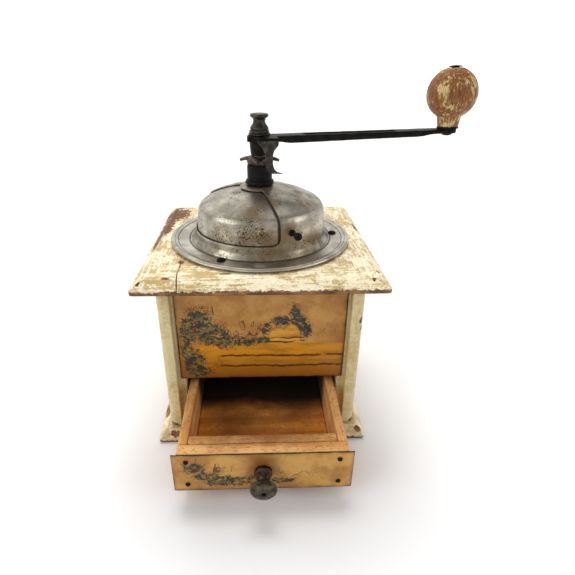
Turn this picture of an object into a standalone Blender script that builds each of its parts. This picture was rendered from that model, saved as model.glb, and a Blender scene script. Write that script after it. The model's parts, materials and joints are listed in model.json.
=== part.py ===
"""Hand crank coffee grinder: a wooden box mill with a sheet steel hopper dome, an iron crank and a drawer.

Origin at the middle of the base's underside, +Z up, drawer towards -Y, crank towards +X. Units are metres.
"""
import math

import bmesh
import bpy
from mathutils import Matrix, Vector

MM = 0.001
GAP = 0.3 * MM                      # air left between pieces that touch
HOLE_TURN = math.radians(7.0)       # turns a hole's corners off the edges of what it cuts

# Wooden case
BASE_OVERHANG = 6.5 * MM            # beyond the posts
BASE_THICK = 7.5 * MM
BASE_EDGE = 2.6 * MM                # upright band below the chamfer
BASE_CHAMFER = 4.8 * MM
TOP_OVERHANG = 10.4 * MM            # beyond the posts
TOP_THICK = 6.7 * MM
TOP_EDGE = 2.8 * MM
TOP_CHAMFER = 6.0 * MM
TOP_UNDERSIDE = 107.0 * MM          # height of the top board's underside
CASE_HALF = 51.0 * MM               # from the axis to the panels' outer faces
PANEL_THICK = 4.0 * MM
POST_WIDTH = 7.6 * MM               # how far a corner post stands outside the panels
POST_ROUND = 4.5 * MM
POST_NECK = 1.0 * MM                # half the neck that joins a post to its tongue
OPENING_HEIGHT = 32.2 * MM          # drawer opening, above the base board
TIN = 0.4 * MM                      # printed sheet on the front and on the drawer

# Drawer
DRAWER_OUT = 55.6 * MM              # how far it stands open
DRAWER_SIDE_PLAY = 1.6 * MM
DRAWER_HEADROOM = 5.2 * MM          # air above the drawer's sides
DRAWER_BACK_PLAY = 0.7 * MM         # behind the closed drawer
DRAWER_WALL = 5.0 * MM
DRAWER_FRONT_WALL = 5.6 * MM
DRAWER_FLOOR = 3.0 * MM
FACE_BOARD = 6.6 * MM
DRAWER_TIN_LAP = 2.9 * MM           # how far the tin passes the face board at each side
DRAWER_TIN_INSET = 0.2 * MM         # below the face board's upper edge
NAIL_INSET = 7.8 * MM
NAIL_RISE = 5.0 * MM
NAIL_HEAD = 1.5 * MM
NAIL_LENGTH = 5.0 * MM
NAIL_SHANK = 0.5 * MM
PULL_HEIGHT = 13.5 * MM             # knob's axis above the drawer's underside
PULL_LENGTH = 14.0 * MM
PULL_FACE = 7.0 * MM
PULL_FOOT = 4.9 * MM
PULL_NECK = 2.6 * MM
PULL_BORE = 1.6 * MM
PULL_SCREW_SHORT = 2.0 * MM         # face board left behind the screw

# Flange ring and hopper dome
RING_MARGIN = 13.0 * MM             # beyond the dome's skirt
RING_SHEET = 0.9 * MM
RING_LIP = 1.2 * MM
HOPPER_HOLE_WALL = 1.9 * MM         # wood between the hopper hole and the bridge's bolts
RING_SCREWS = 3
RING_SCREW_OFFSET = 3.1 * MM        # screws' axes beyond the dome's skirt
RING_SCREW_START = math.radians(-118.5)
RING_SCREW_HEAD = 2.7 * MM
RING_SCREW_SHANK = 1.3 * MM
RING_SCREW_LENGTH = 4.6 * MM
RING_SCREW_DOME = 1.2 * MM          # height of the screw's head
DOME_HEIGHT = 34.7 * MM             # above the top board
DOME_RADIUS = 40.2 * MM             # at the foot of the rounded shoulder
DOME_TAPER = 1.1 * MM
DOME_SHOULDER = 8.0 * MM
DOME_CROWN = 77.2 * MM
DOME_SHEET = 0.9 * MM
SKIRT_FLARE = 2.6 * MM
SKIRT_HEIGHT = 6.0 * MM
WINDOW_START = math.radians(-75.5)
WINDOW_SWEEP = math.radians(134.5)  # clockwise from above
WINDOW_SILL = 8.2 * MM              # above the top board
WINDOW_RING_WIDTH = 4.5 * MM        # sheet left round the collar
WINDOW_CORNER = 5.0 * MM
DOOR_SHEET = 0.8 * MM
DOOR_PLAY = 0.5 * MM
DOOR_LAP = math.radians(4.0)        # how far the door passes each edge of the window
RIVET_ANGLE = math.radians(-89.0)
RIVET_HEIGHT = 16.5 * MM            # above the top board
RIVET_FLANGE = 2.6 * MM
RIVET_BORE = 1.2 * MM
STUD_ANGLE = math.radians(-64.0)
STUD_HEIGHT = 15.6 * MM
STUD_REACH = 6.6 * MM
STUD_BALL = 2.4 * MM
STUD_ROD = 1.1 * MM

# Bridge, bearing and burrs
COLLAR_RADIUS = 7.5 * MM
COLLAR_TOP = 46.4 * MM              # above the top board
COLLAR_WALL = 1.6 * MM
COLLAR_RING_WIDTH = 1.4 * MM
COLLAR_RING_HEIGHT = 2.0 * MM
COLLAR_RING_SEAT = 0.5 * MM         # above the dome's crown
BRIDGE_WIDTH = 10.0 * MM
BRIDGE_RISE = 20.3 * MM             # crossbar's top above the top board
BRIDGE_BAR = 4.0 * MM
BRIDGE_FOOT = 3.0 * MM
BRIDGE_KNEE = 4.0 * MM              # how far each leg leans in
BRIDGE_LEG = 3.8 * MM
COLLAR_DROP = 4.0 * MM              # collar below the crossbar
BRIDGE_PLAY = 0.6 * MM              # between the bridge's feet and the turning door
BOLT_RADIUS = 2.0 * MM
BOLT_HEAD = 2.9 * MM
BOLT_HEAD_HEIGHT = 2.4 * MM
BOLT_PLAY = 0.3 * MM
BOLT_TAIL = 1.5 * MM                # bolt below its nut
NUT_RADIUS = 3.6 * MM
NUT_HEIGHT = 2.6 * MM
BURR_FLANGE_MARGIN = 3.8 * MM       # beyond the bolts' axes
BURR_FLANGE_THICK = 2.5 * MM
BURR_WALL = 2.3 * MM
BURR_BODY = 19.0 * MM
BURR_DEPTH = 28.7 * MM              # ring burr's length below the top board
BURR_THROAT = 12.0 * MM             # narrowest place above the burr's lower end
BURR_GAP = 0.2 * MM                 # between the burrs at the throat
INNER_BURR_RADIUS = 13.2 * MM
INNER_BURR_TOP = 6.5 * MM
INNER_BURR_LENGTH = 18.6 * MM
INNER_BURR_TEETH = 12
INNER_BURR_RISE = 1.0 * MM          # inner burr above the ring burr's lower end
STRAP_THICK = 2.5 * MM
STRAP_WIDTH = 8.0 * MM
STRAP_DROP = 7.7 * MM
STRAP_LEG = 2.7 * MM
STRAP_INSET = 0.5 * MM              # inside the ring burr's body
SPRING_WIRE = 0.7 * MM
SPRING_TURNS = 5
BURR_NUT_RADIUS = 6.4 * MM
BURR_NUT_HEIGHT = 4.0 * MM

# Shaft, crank and handle
SHAFT_RADIUS = 4.0 * MM
SHAFT_PLAY = 0.3 * MM
SHAFT_SQUARE = 3.25 * MM            # half the square that drives the crank
SHAFT_THREAD = 2.8 * MM
SHAFT_PIN = 2.5 * MM
SHAFT_END = 2.5 * MM                # thread's end below the spool nut's top
STAR_TIP = 12.0 * MM
STAR_ROOT = 7.6 * MM
STAR_LOBES = 4
STAR_TURN = math.radians(-5.0)
STAR_THICK = 4.8 * MM
HUB_RADIUS = 7.2 * MM
HUB_BOSS = 5.8 * MM
HUB_BOSS_HEIGHT = 8.0 * MM
HUB_PLATE = 3.5 * MM
ARM_REACH = 111.3 * MM
ARM_RISE = math.radians(2.0)
ARM_HUB_HALF = 5.6 * MM
ARM_END_HALF = 4.4 * MM
ARM_END_THICK = 2.3 * MM
ARM_EYE = 5.2 * MM
CHANNEL_START = 24.0 * MM
CHANNEL_END = 83.0 * MM
CHANNEL_DEPTH = 1.0 * MM
CHANNEL_RIM = 1.5 * MM
CATCH_THICK = 1.0 * MM
CATCH_CLEAR = 0.3 * MM              # between the star's tips and the leaf
CATCH_LEFT = -1.3 * MM
CATCH_RIGHT = 11.1 * MM
CATCH_LENGTH = 18.8 * MM
CATCH_DROP = 1.4 * MM               # leaf's top below the hub's
WASHER_THICK = 0.8 * MM
SPOOL_TOP = 5.5 * MM
SPOOL_NECK = 3.45 * MM
SPOOL_BASE = 5.9 * MM
SPOOL_HEIGHT = 10.6 * MM
SPOOL_ROOF = 2.0 * MM               # metal over the spool nut's blind thread
PIN_RADIUS = 2.0 * MM
PIN_HEAD = 3.9 * MM
PIN_FOOT = 3.2 * MM
BALL_RADIUS = 14.1 * MM
BALL_NECK = 5.9 * MM
BALL_NECK_HEIGHT = 5.5 * MM
HANDLE_WASHER = 6.1 * MM

# Widths worked out from the sizes above
POST_OUT = CASE_HALF + POST_WIDTH
BASE_SIDE = 2 * (POST_OUT + BASE_OVERHANG)
TOP_SIDE = 2 * (POST_OUT + TOP_OVERHANG)
INNER_HALF = CASE_HALF - PANEL_THICK
FRONT_FACE = -CASE_HALF
DRAWER_HALF = INNER_HALF - DRAWER_SIDE_PLAY
DRAWER_HEIGHT = OPENING_HEIGHT - GAP - DRAWER_HEADROOM
DRAWER_DEPTH = INNER_HALF - DRAWER_BACK_PLAY - (FRONT_FACE + FACE_BOARD + GAP)
SKIRT_RADIUS = DOME_RADIUS + DOME_TAPER + SKIRT_FLARE
RING_RADIUS = SKIRT_RADIUS + RING_MARGIN
RING_SCREW_CIRCLE = SKIRT_RADIUS + RING_SCREW_OFFSET
DOOR_SKIN = DOME_SHEET + DOOR_PLAY          # from the dome's outside to the door's
BRIDGE_HALF = DOME_RADIUS - DOOR_SKIN - DOOR_SHEET - BRIDGE_PLAY
BRIDGE_BOLT_CIRCLE = BRIDGE_HALF - GAP - BOLT_HEAD
HOPPER_HOLE = BRIDGE_BOLT_CIRCLE - BOLT_RADIUS - BOLT_PLAY - HOPPER_HOLE_WALL
BURR_FLANGE = BRIDGE_BOLT_CIRCLE + BURR_FLANGE_MARGIN
COLLAR_RING = COLLAR_RADIUS + COLLAR_RING_WIDTH
WINDOW_RING = COLLAR_RADIUS + WINDOW_RING_WIDTH

# Heights worked out from the sizes above
TOP_FACE = TOP_UNDERSIDE + TOP_THICK
RING_TOP = TOP_FACE + GAP + RING_SHEET
OPENING_TOP = BASE_THICK + OPENING_HEIGHT
DOME_TOP = TOP_FACE + DOME_HEIGHT
CROWN_CENTRE = DOME_TOP - DOME_CROWN
SHOULDER_RADIUS = DOME_RADIUS - DOME_SHOULDER
SHOULDER_HEIGHT = CROWN_CENTRE + math.sqrt((DOME_CROWN - DOME_SHOULDER) ** 2 - SHOULDER_RADIUS ** 2)
WALL_FOOT = RING_TOP + SKIRT_HEIGHT
COLLAR_FOOT = TOP_FACE + BRIDGE_RISE - BRIDGE_BAR - COLLAR_DROP
COLLAR_END = TOP_FACE + COLLAR_TOP
BURR_TOP = TOP_UNDERSIDE - GAP
BURR_END = BURR_TOP - BURR_DEPTH
STAR_BOTTOM = COLLAR_END + GAP
STAR_TOP = STAR_BOTTOM + STAR_THICK
HUB_BOTTOM = STAR_TOP + GAP
HUB_TOP = HUB_BOTTOM + HUB_BOSS_HEIGHT + HUB_PLATE
NUT_SEAT = HUB_TOP + GAP + WASHER_THICK + GAP
PANEL_TOP = TOP_UNDERSIDE - GAP
PANEL_FOOT = BASE_THICK + GAP
ARM_END = Vector((ARM_REACH, 0.0, HUB_TOP + math.tan(ARM_RISE) * (ARM_REACH - HUB_RADIUS)))

# Colour, roughness and metallic value of each finish
CREAM_PAINT = ("cream_paint", (0.79, 0.70, 0.47, 1), 0.55, 0.0)
PRINTED_TIN = ("printed_tin", (0.48, 0.32, 0.11, 1), 0.42, 0.0)
BARE_WOOD = ("bare_wood", (0.44, 0.24, 0.09, 1), 0.68, 0.0)
NICKEL = ("dull_nickel", (0.42, 0.39, 0.33, 1), 0.38, 1.0)
CAST_IRON = ("cast_iron", (0.035, 0.030, 0.026, 1), 0.55, 0.9)
STEEL = ("aged_steel", (0.24, 0.21, 0.17, 1), 0.42, 1.0)
DARK_BRASS = ("dark_brass", (0.13, 0.11, 0.06, 1), 0.40, 1.0)
BRASS = ("bearing_brass", (0.50, 0.33, 0.12, 1), 0.40, 1.0)
KNOB_PAINT = ("worn_knob_paint", (0.40, 0.25, 0.10, 1), 0.50, 0.0)


def clear_scene():
    for item in list(bpy.data.objects):
        bpy.data.objects.remove(item, do_unlink=True)


def finish_material(finish):
    """One Principled material for each finish, made once."""
    name, colour, roughness, metallic = finish
    made = bpy.data.materials.get(name)
    if made:
        return made
    made = bpy.data.materials.new(name)
    made.use_nodes = True
    shader = made.node_tree.nodes["Principled BSDF"]
    shader.inputs["Base Color"].default_value = colour
    shader.inputs["Roughness"].default_value = roughness
    shader.inputs["Metallic"].default_value = metallic
    made.diffuse_color = colour
    return made


def add_object(name, shape, finish, place=None, smooth=True):
    """Turn a bmesh into an object whose faces point outwards."""
    bmesh.ops.recalc_face_normals(shape, faces=shape.faces)
    mesh = bpy.data.meshes.new(name)
    shape.to_mesh(mesh)
    shape.free()
    if smooth:
        mesh.shade_smooth()
        mesh.set_sharp_from_angle(angle=math.radians(35))
    mesh.materials.append(finish_material(finish))
    item = bpy.data.objects.new(name, mesh)
    if place is not None:
        item.matrix_world = place
    bpy.context.collection.objects.link(item)
    return item


def join_rings(shape, rings, closed):
    """Skin a list of equally long vertex rings; closed joins the last ring to the first."""
    pairs = list(zip(rings, rings[1:]))
    if closed:
        pairs.append((rings[-1], rings[0]))
    for lower, upper in pairs:
        count = max(len(lower), len(upper))
        for i in range(count):
            j = (i + 1) % count
            corners = [lower[i % len(lower)], lower[j % len(lower)]]
            corners += [upper[j % len(upper)], upper[i % len(upper)]]
            face = [corner for k, corner in enumerate(corners) if corner not in corners[:k]]
            shape.faces.new(face)


def turned(name, profile, finish, segments=32, place=None, bend=None):
    """Turn a profile of (radius, height) about Z.

    A profile that starts and ends on the axis makes a solid, any other is closed into a ring.
    bend(point number, angle) scales the radius.
    """
    shape = bmesh.new()
    rings = []
    for number, (radius, height) in enumerate(profile):
        if radius == 0.0:
            rings.append([shape.verts.new((0.0, 0.0, height))])
            continue
        ring = []
        for step in range(segments):
            angle = 2 * math.pi * step / segments
            reach = radius * (bend(number, angle) if bend else 1.0)
            ring.append(shape.verts.new((reach * math.cos(angle), reach * math.sin(angle), height)))
        rings.append(ring)
    join_rings(shape, rings, closed=profile[0][0] > 0.0)
    return add_object(name, shape, finish, place)


def sector(name, profile, finish, start, end, segments):
    """Turn a closed profile through part of a turn and cap both ends."""
    shape = bmesh.new()
    stations = []
    for step in range(segments + 1):
        angle = start + (end - start) * step / segments
        stations.append([shape.verts.new((r * math.cos(angle), r * math.sin(angle), z)) for r, z in profile])
    join_rings(shape, stations, closed=False)
    shape.faces.new(stations[0])
    shape.faces.new(stations[-1])
    return add_object(name, shape, finish)


def prism(name, outline, low, high, finish, place=None, smooth=False):
    """Extrude an outline of (x, y) from low to high along Z."""
    shape = bmesh.new()
    bottom = [shape.verts.new((x, y, low)) for x, y in outline]
    top = [shape.verts.new((x, y, high)) for x, y in outline]
    join_rings(shape, [bottom, top], closed=False)
    shape.faces.new(bottom)
    shape.faces.new(top)
    return add_object(name, shape, finish, place, smooth)


def upright(name, outline, front, back, finish):
    """Extrude an outline of (x, z) from front to back along Y."""
    stand = Matrix(((1, 0, 0, 0), (0, 0, 1, 0), (0, 1, 0, 0), (0, 0, 0, 1)))
    item = prism(name, outline, front, back, finish)
    item.data.transform(stand)
    item.data.flip_normals()
    return item


def block(name, x_span, y_span, z_span, finish):
    (left, right), (front, back) = x_span, y_span
    outline = [(left, front), (right, front), (right, back), (left, back)]
    return prism(name, outline, z_span[0], z_span[1], finish)


def arc(centre, radius, start, end, steps):
    """Points along an arc, angles in radians."""
    angles = [start + (end - start) * i / steps for i in range(steps + 1)]
    return [(centre[0] + radius * math.cos(a), centre[1] + radius * math.sin(a)) for a in angles]


def polygon(radius, corners, turn=0.0):
    angles = [turn + 2 * math.pi * i / corners for i in range(corners)]
    return [(radius * math.cos(angle), radius * math.sin(angle)) for angle in angles]


def combine(item, tool, operation):
    """Boolean one helper object into another; the helper is never built."""
    tool.hide_render = True
    tool.display_type = 'WIRE'
    step = item.modifiers.new(tool.name, 'BOOLEAN')
    step.operation = operation
    step.object = tool
    return item


def drill(item, centre, radius, low, high, sides=16):
    """Cut a round upright hole."""
    cutter = prism(item.name + "_drill", polygon(radius, sides, HOLE_TURN), low, high, CAST_IRON,
                   Matrix.Translation((centre[0], centre[1], 0)))
    return combine(item, cutter, 'DIFFERENCE')


def upright_hole_places():
    """Places of the two bolts that hold the bridge, ring, board and ring burr together."""
    return {"left": (-BRIDGE_BOLT_CIRCLE, 0.0), "right": (BRIDGE_BOLT_CIRCLE, 0.0)}


def ring_screw_places():
    places = []
    for i in range(RING_SCREWS):
        angle = RING_SCREW_START + 2 * math.pi * i / RING_SCREWS
        places.append((RING_SCREW_CIRCLE * math.cos(angle), RING_SCREW_CIRCLE * math.sin(angle)))
    return places


def stepped_board(name, side, low, edge, thick, chamfer, finish):
    """A square board whose upper edges are chamfered all round."""
    shape = bmesh.new()
    rings = []
    for half, height in ((side / 2, low), (side / 2, low + edge), (side / 2 - chamfer, low + thick)):
        corners = ((-half, -half), (half, -half), (half, half), (-half, half))
        rings.append([shape.verts.new((x, y, height)) for x, y in corners])
    join_rings(shape, rings, closed=False)
    shape.faces.new(rings[0])
    shape.faces.new(rings[-1])
    return add_object(name, shape, finish, smooth=False)


def build_boards():
    stepped_board("base_board", BASE_SIDE, 0.0, BASE_EDGE, BASE_THICK, BASE_CHAMFER, CREAM_PAINT)
    top = stepped_board("top_board", TOP_SIDE, TOP_UNDERSIDE, TOP_EDGE, TOP_THICK, TOP_CHAMFER, CREAM_PAINT)
    below, above = TOP_UNDERSIDE - MM, TOP_FACE + MM
    drill(top, (0, 0), HOPPER_HOLE, below, above, sides=40)
    for place in upright_hole_places().values():
        drill(top, place, BOLT_RADIUS + BOLT_PLAY, below, above)
    for place in ring_screw_places():
        drill(top, place, RING_SCREW_SHANK + GAP, TOP_FACE - RING_SCREW_LENGTH - GAP, above, sides=8)


def post_outline():
    """Section of a corner post: a rounded square outside the panels and a tongue between them."""
    centre = POST_OUT - POST_ROUND
    outline = [(INNER_HALF, INNER_HALF), (CASE_HALF, INNER_HALF), (CASE_HALF, CASE_HALF - POST_NECK),
               (CASE_HALF + POST_NECK, CASE_HALF), (POST_OUT, CASE_HALF)]
    outline += arc((centre, centre), POST_ROUND, 0.0, math.pi / 2, 6)
    outline += [(CASE_HALF, POST_OUT), (CASE_HALF, CASE_HALF + POST_NECK),
                (CASE_HALF - POST_NECK, CASE_HALF), (INNER_HALF, CASE_HALF)]
    return outline


def build_case():
    outline = post_outline()
    corners = {"front_left": (-1, -1), "front_right": (1, -1), "back_left": (-1, 1), "back_right": (1, 1)}
    for corner, (x, y) in corners.items():
        prism("post_" + corner, [(x * px, y * py) for px, py in outline], PANEL_FOOT, PANEL_TOP, CREAM_PAINT)
    reach = INNER_HALF - GAP
    for side, sign in (("left", -1), ("right", 1)):
        span = sorted((sign * INNER_HALF, sign * CASE_HALF))
        block(side + "_panel", span, (-reach, reach), (PANEL_FOOT, PANEL_TOP), CREAM_PAINT)
    block("back_panel", (-reach, reach), (INNER_HALF, CASE_HALF), (PANEL_FOOT, PANEL_TOP), CREAM_PAINT)
    block("front_board", (-reach, reach), (FRONT_FACE, -INNER_HALF), (OPENING_TOP, PANEL_TOP), BARE_WOOD)
    plate_half = CASE_HALF + GAP - POST_NECK - 1.5 * GAP
    block("front_picture_plate", (-plate_half, plate_half), (FRONT_FACE - GAP - TIN, FRONT_FACE - GAP),
          (OPENING_TOP, PANEL_TOP), PRINTED_TIN)


def facing_front(y, z):
    """Local +Z points to -Y, at the middle of the drawer's front."""
    return Matrix.Translation((0, y, z)) @ Matrix.Rotation(math.radians(90), 4, 'X')


def build_drawer():
    half = DRAWER_HALF
    low = BASE_THICK + GAP
    high = low + DRAWER_HEIGHT
    face_front = FRONT_FACE - DRAWER_OUT
    face_back = face_front + FACE_BOARD
    wall_front = face_back + GAP
    wall_back = wall_front + DRAWER_DEPTH
    inner = half - DRAWER_WALL
    block("drawer_side_left", (-half, -inner), (wall_front, wall_back), (low, high), BARE_WOOD)
    block("drawer_side_right", (inner, half), (wall_front, wall_back), (low, high), BARE_WOOD)
    between = inner - GAP
    block("drawer_front_wall", (-between, between), (wall_front, wall_front + DRAWER_FRONT_WALL),
          (low, high), BARE_WOOD)
    block("drawer_back_wall", (-between, between), (wall_back - DRAWER_WALL, wall_back),
          (low, high), BARE_WOOD)
    floor_span = (wall_front + DRAWER_FRONT_WALL + GAP, wall_back - DRAWER_WALL - GAP)
    block("drawer_floor", (-between, between), floor_span, (low, low + DRAWER_FLOOR), BARE_WOOD)
    face = block("drawer_face_board", (-half, half), (face_front, face_back), (low, high), BARE_WOOD)

    tin_half = half + DRAWER_TIN_LAP
    tin_low = low + DRAWER_TIN_INSET
    tin_high = high - DRAWER_TIN_INSET
    tin_back = face_front - GAP
    tin = block("drawer_picture_plate", (-tin_half, tin_half), (tin_back - TIN, tin_back),
                (tin_low, tin_high), PRINTED_TIN)
    nail_x = tin_half - NAIL_INSET
    places = {"top_left": (-nail_x, tin_high - NAIL_RISE), "top_right": (nail_x, tin_high - NAIL_RISE),
              "bottom_left": (-nail_x, tin_low + NAIL_RISE), "bottom_right": (nail_x, tin_low + NAIL_RISE)}
    for corner, (x, z) in places.items():
        spot = Matrix.Translation((x, 0, 0)) @ facing_front(tin_back - TIN - GAP, z)
        head = [(0.0, -NAIL_LENGTH), (NAIL_SHANK, -NAIL_LENGTH), (NAIL_SHANK, 0.0), (NAIL_HEAD, 0.0),
                (NAIL_HEAD * 0.7, 0.4 * MM), (0.0, 0.5 * MM)]
        turned("drawer_nail_" + corner, head, CAST_IRON, 12, spot)
        for board in (face, tin):
            bore(board, spot, NAIL_SHANK + GAP, -NAIL_LENGTH - GAP, MM)

    build_pull(tin_back - TIN, low + PULL_HEIGHT, (face, tin))


def bore(item, place, radius, low, high):
    """Cut a round hole along the local Z of place."""
    cutter = prism(item.name + "_bore", polygon(radius, 12, HOLE_TURN), low, high, CAST_IRON, place)
    combine(item, cutter, 'DIFFERENCE')


def build_pull(front, height, boards):
    """The drawer's turned knob and the screw that holds it from inside the face board."""
    place = facing_front(front - GAP, height)
    screw_hole = PULL_BORE + GAP
    profile = [(screw_hole, 0.0), (PULL_FOOT, 0.0), (PULL_FOOT, 1.6 * MM), (PULL_NECK + 0.8 * MM, 3.2 * MM),
               (PULL_NECK, 5.2 * MM), (PULL_NECK + 0.5 * MM, 7.6 * MM), (PULL_FACE - 1.6 * MM, 9.6 * MM),
               (PULL_FACE, 11.2 * MM), (PULL_FACE - 0.4 * MM, 12.2 * MM), (PULL_FACE * 0.6, 13.5 * MM),
               (screw_hole, PULL_LENGTH)]
    turned("drawer_knob", profile, DARK_BRASS, 20, place)
    tail = GAP + TIN + GAP + FACE_BOARD - PULL_SCREW_SHORT
    screw = [(0.0, -tail), (PULL_BORE, -tail), (PULL_BORE, PULL_LENGTH - MM), (0.0, PULL_LENGTH - 0.7 * MM)]
    turned("drawer_knob_screw", screw, STEEL, 12, place)
    for board in boards:
        bore(board, place, screw_hole, -tail - GAP, MM)


def build_flange_ring():
    bottom = TOP_FACE + GAP
    inner = HOPPER_HOLE + GAP
    lip_high = RING_TOP + RING_LIP
    lip = RING_LIP
    profile = [(inner, bottom), (RING_RADIUS - lip * 0.5, bottom), (RING_RADIUS, bottom + lip * 0.6),
               (RING_RADIUS - lip * 0.3, lip_high - lip * 0.25), (RING_RADIUS - lip, lip_high),
               (RING_RADIUS - lip * 2.0, lip_high - lip * 0.3), (RING_RADIUS - lip * 3.2, RING_TOP),
               (inner, RING_TOP)]
    ring = turned("flange_ring", profile, NICKEL, 56)
    for place in upright_hole_places().values():
        drill(ring, place, BOLT_RADIUS + BOLT_PLAY, bottom - MM, RING_TOP + MM, sides=12)
    for number, place in enumerate(ring_screw_places(), 1):
        drill(ring, place, RING_SCREW_SHANK + GAP, bottom - MM, RING_TOP + MM, sides=8)
        seat = RING_TOP + GAP
        tail = TOP_FACE - RING_SCREW_LENGTH
        screw = [(0.0, tail), (RING_SCREW_SHANK, tail), (RING_SCREW_SHANK, seat), (RING_SCREW_HEAD, seat),
                 (RING_SCREW_HEAD * 0.75, seat + RING_SCREW_DOME * 0.75), (0.0, seat + RING_SCREW_DOME)]
        turned("ring_screw_%d" % number, screw, STEEL, 16, Matrix.Translation((place[0], place[1], 0)))


def dome_points(inset, hole, steps=4):
    """Outline of the dome from the wall's foot to the hole in its crown, moved in by inset."""
    shoulder = arc((SHOULDER_RADIUS, SHOULDER_HEIGHT), DOME_SHOULDER - inset, 0.0,
                   math.pi / 2 - math.asin(SHOULDER_RADIUS / (DOME_CROWN - DOME_SHOULDER)), steps)
    crown_radius = DOME_CROWN - inset
    start = math.atan2(shoulder[-1][0], shoulder[-1][1] - CROWN_CENTRE)
    end = math.asin(hole / crown_radius)
    crown = []
    for i in range(1, steps + 1):
        angle = start + (end - start) * i / steps
        crown.append((crown_radius * math.sin(angle), CROWN_CENTRE + crown_radius * math.cos(angle)))
    return shoulder + crown


def wall_radius(height):
    """Outer radius of the dome's tapered wall."""
    share = (SHOULDER_HEIGHT - height) / (SHOULDER_HEIGHT - WALL_FOOT)
    return DOME_RADIUS + DOME_TAPER * share


def window_cutter():
    """A wedge of the dome above the sill, outside the ring of sheet round the collar."""
    reach = DOME_RADIUS + SKIRT_FLARE + 4 * MM
    first, last = WINDOW_START, WINDOW_START - WINDOW_SWEEP
    sill = TOP_FACE + WINDOW_SILL
    shape = bmesh.new()
    steps = 14
    # near each end the sill rises along a quarter round, which rounds the window's lower corners
    corner = WINDOW_CORNER / DOME_RADIUS
    angles = [first - corner * (1 - math.cos(math.pi / 2 * i / 4)) for i in range(4)]
    middle = [first - corner - (WINDOW_SWEEP - 2 * corner) * i / steps for i in range(steps + 1)]
    angles += middle + [last + corner * (1 - math.cos(math.pi / 2 * i / 4)) for i in range(3, -1, -1)]
    stations = []
    for angle in angles:
        edge = min(first - angle, angle - last)
        part = max(0.0, 1.0 - edge / corner)
        low = sill + WINDOW_CORNER * (1 - math.sqrt(max(0.0, 1 - part * part)))
        high = DOME_TOP + 5 * MM
        ring = [(WINDOW_RING, low), (reach, low), (reach, high), (WINDOW_RING, high)]
        stations.append([shape.verts.new((r * math.cos(angle), r * math.sin(angle), z)) for r, z in ring])
    join_rings(shape, stations, closed=False)
    shape.faces.new(stations[0])
    shape.faces.new(stations[-1])
    return add_object("window_cutter", shape, NICKEL, smooth=False)


def build_dome():
    hole = COLLAR_RADIUS + GAP
    foot = RING_TOP + GAP
    flare = [(SKIRT_RADIUS, foot), (SKIRT_RADIUS - SKIRT_FLARE * 0.55, foot + SKIRT_HEIGHT * 0.35),
             (wall_radius(WALL_FOOT), WALL_FOOT)]
    outer = flare + dome_points(0.0, hole)
    inner = [(radius - DOME_SHEET, height) for radius, height in flare] + dome_points(DOME_SHEET, hole)
    shell = turned("dome_shell", outer + inner[::-1], NICKEL, 56)
    combine(shell, window_cutter(), 'DIFFERENCE')

    skin = DOOR_SKIN
    hole += GAP
    door_foot = RING_TOP + 2 * GAP
    door_outer = [(wall_radius(WALL_FOOT) - skin, door_foot)] + dome_points(skin, hole)
    door_inner = [(wall_radius(WALL_FOOT) - skin - DOOR_SHEET, door_foot)]
    door_inner += dome_points(skin + DOOR_SHEET, hole)
    sector("hopper_door", door_outer + door_inner[::-1], NICKEL,
           WINDOW_START + DOOR_LAP, WINDOW_START - WINDOW_SWEEP - DOOR_LAP, 24)

    rivet_high = TOP_FACE + RIVET_HEIGHT
    face = wall_radius(rivet_high) - skin
    rivet = [(RIVET_BORE, 0.0), (RIVET_FLANGE, 0.0), (RIVET_FLANGE, 0.4 * MM),
             (RIVET_FLANGE * 0.75, 1.0 * MM), (RIVET_BORE, 0.8 * MM)]
    turned("door_rivet", rivet, BRASS, 20, on_wall(RIVET_ANGLE, face + GAP, rivet_high))

    stud_high = TOP_FACE + STUD_HEIGHT
    ball = arc((0.0, STUD_REACH), STUD_BALL, -math.radians(55), math.pi / 2, 4)
    ball = [(abs(r), z) for r, z in ball[:-1]] + [(0.0, STUD_REACH + STUD_BALL)]
    stud = [(0.0, 0.0), (2.0 * MM, 0.0), (2.0 * MM, 0.8 * MM), (STUD_ROD, 1.2 * MM),
            (STUD_ROD, STUD_REACH - STUD_BALL)] + ball
    turned("dome_stud", stud, CAST_IRON, 12, on_wall(STUD_ANGLE, wall_radius(stud_high) + GAP, stud_high))


def on_wall(angle, radius, height):
    """A place on the dome's wall whose local Z points outwards."""
    out = Matrix.Rotation(angle, 4, 'Z') @ Matrix.Rotation(math.radians(90), 4, 'Y')
    return Matrix.Translation((radius * math.cos(angle), radius * math.sin(angle), height)) @ out


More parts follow.
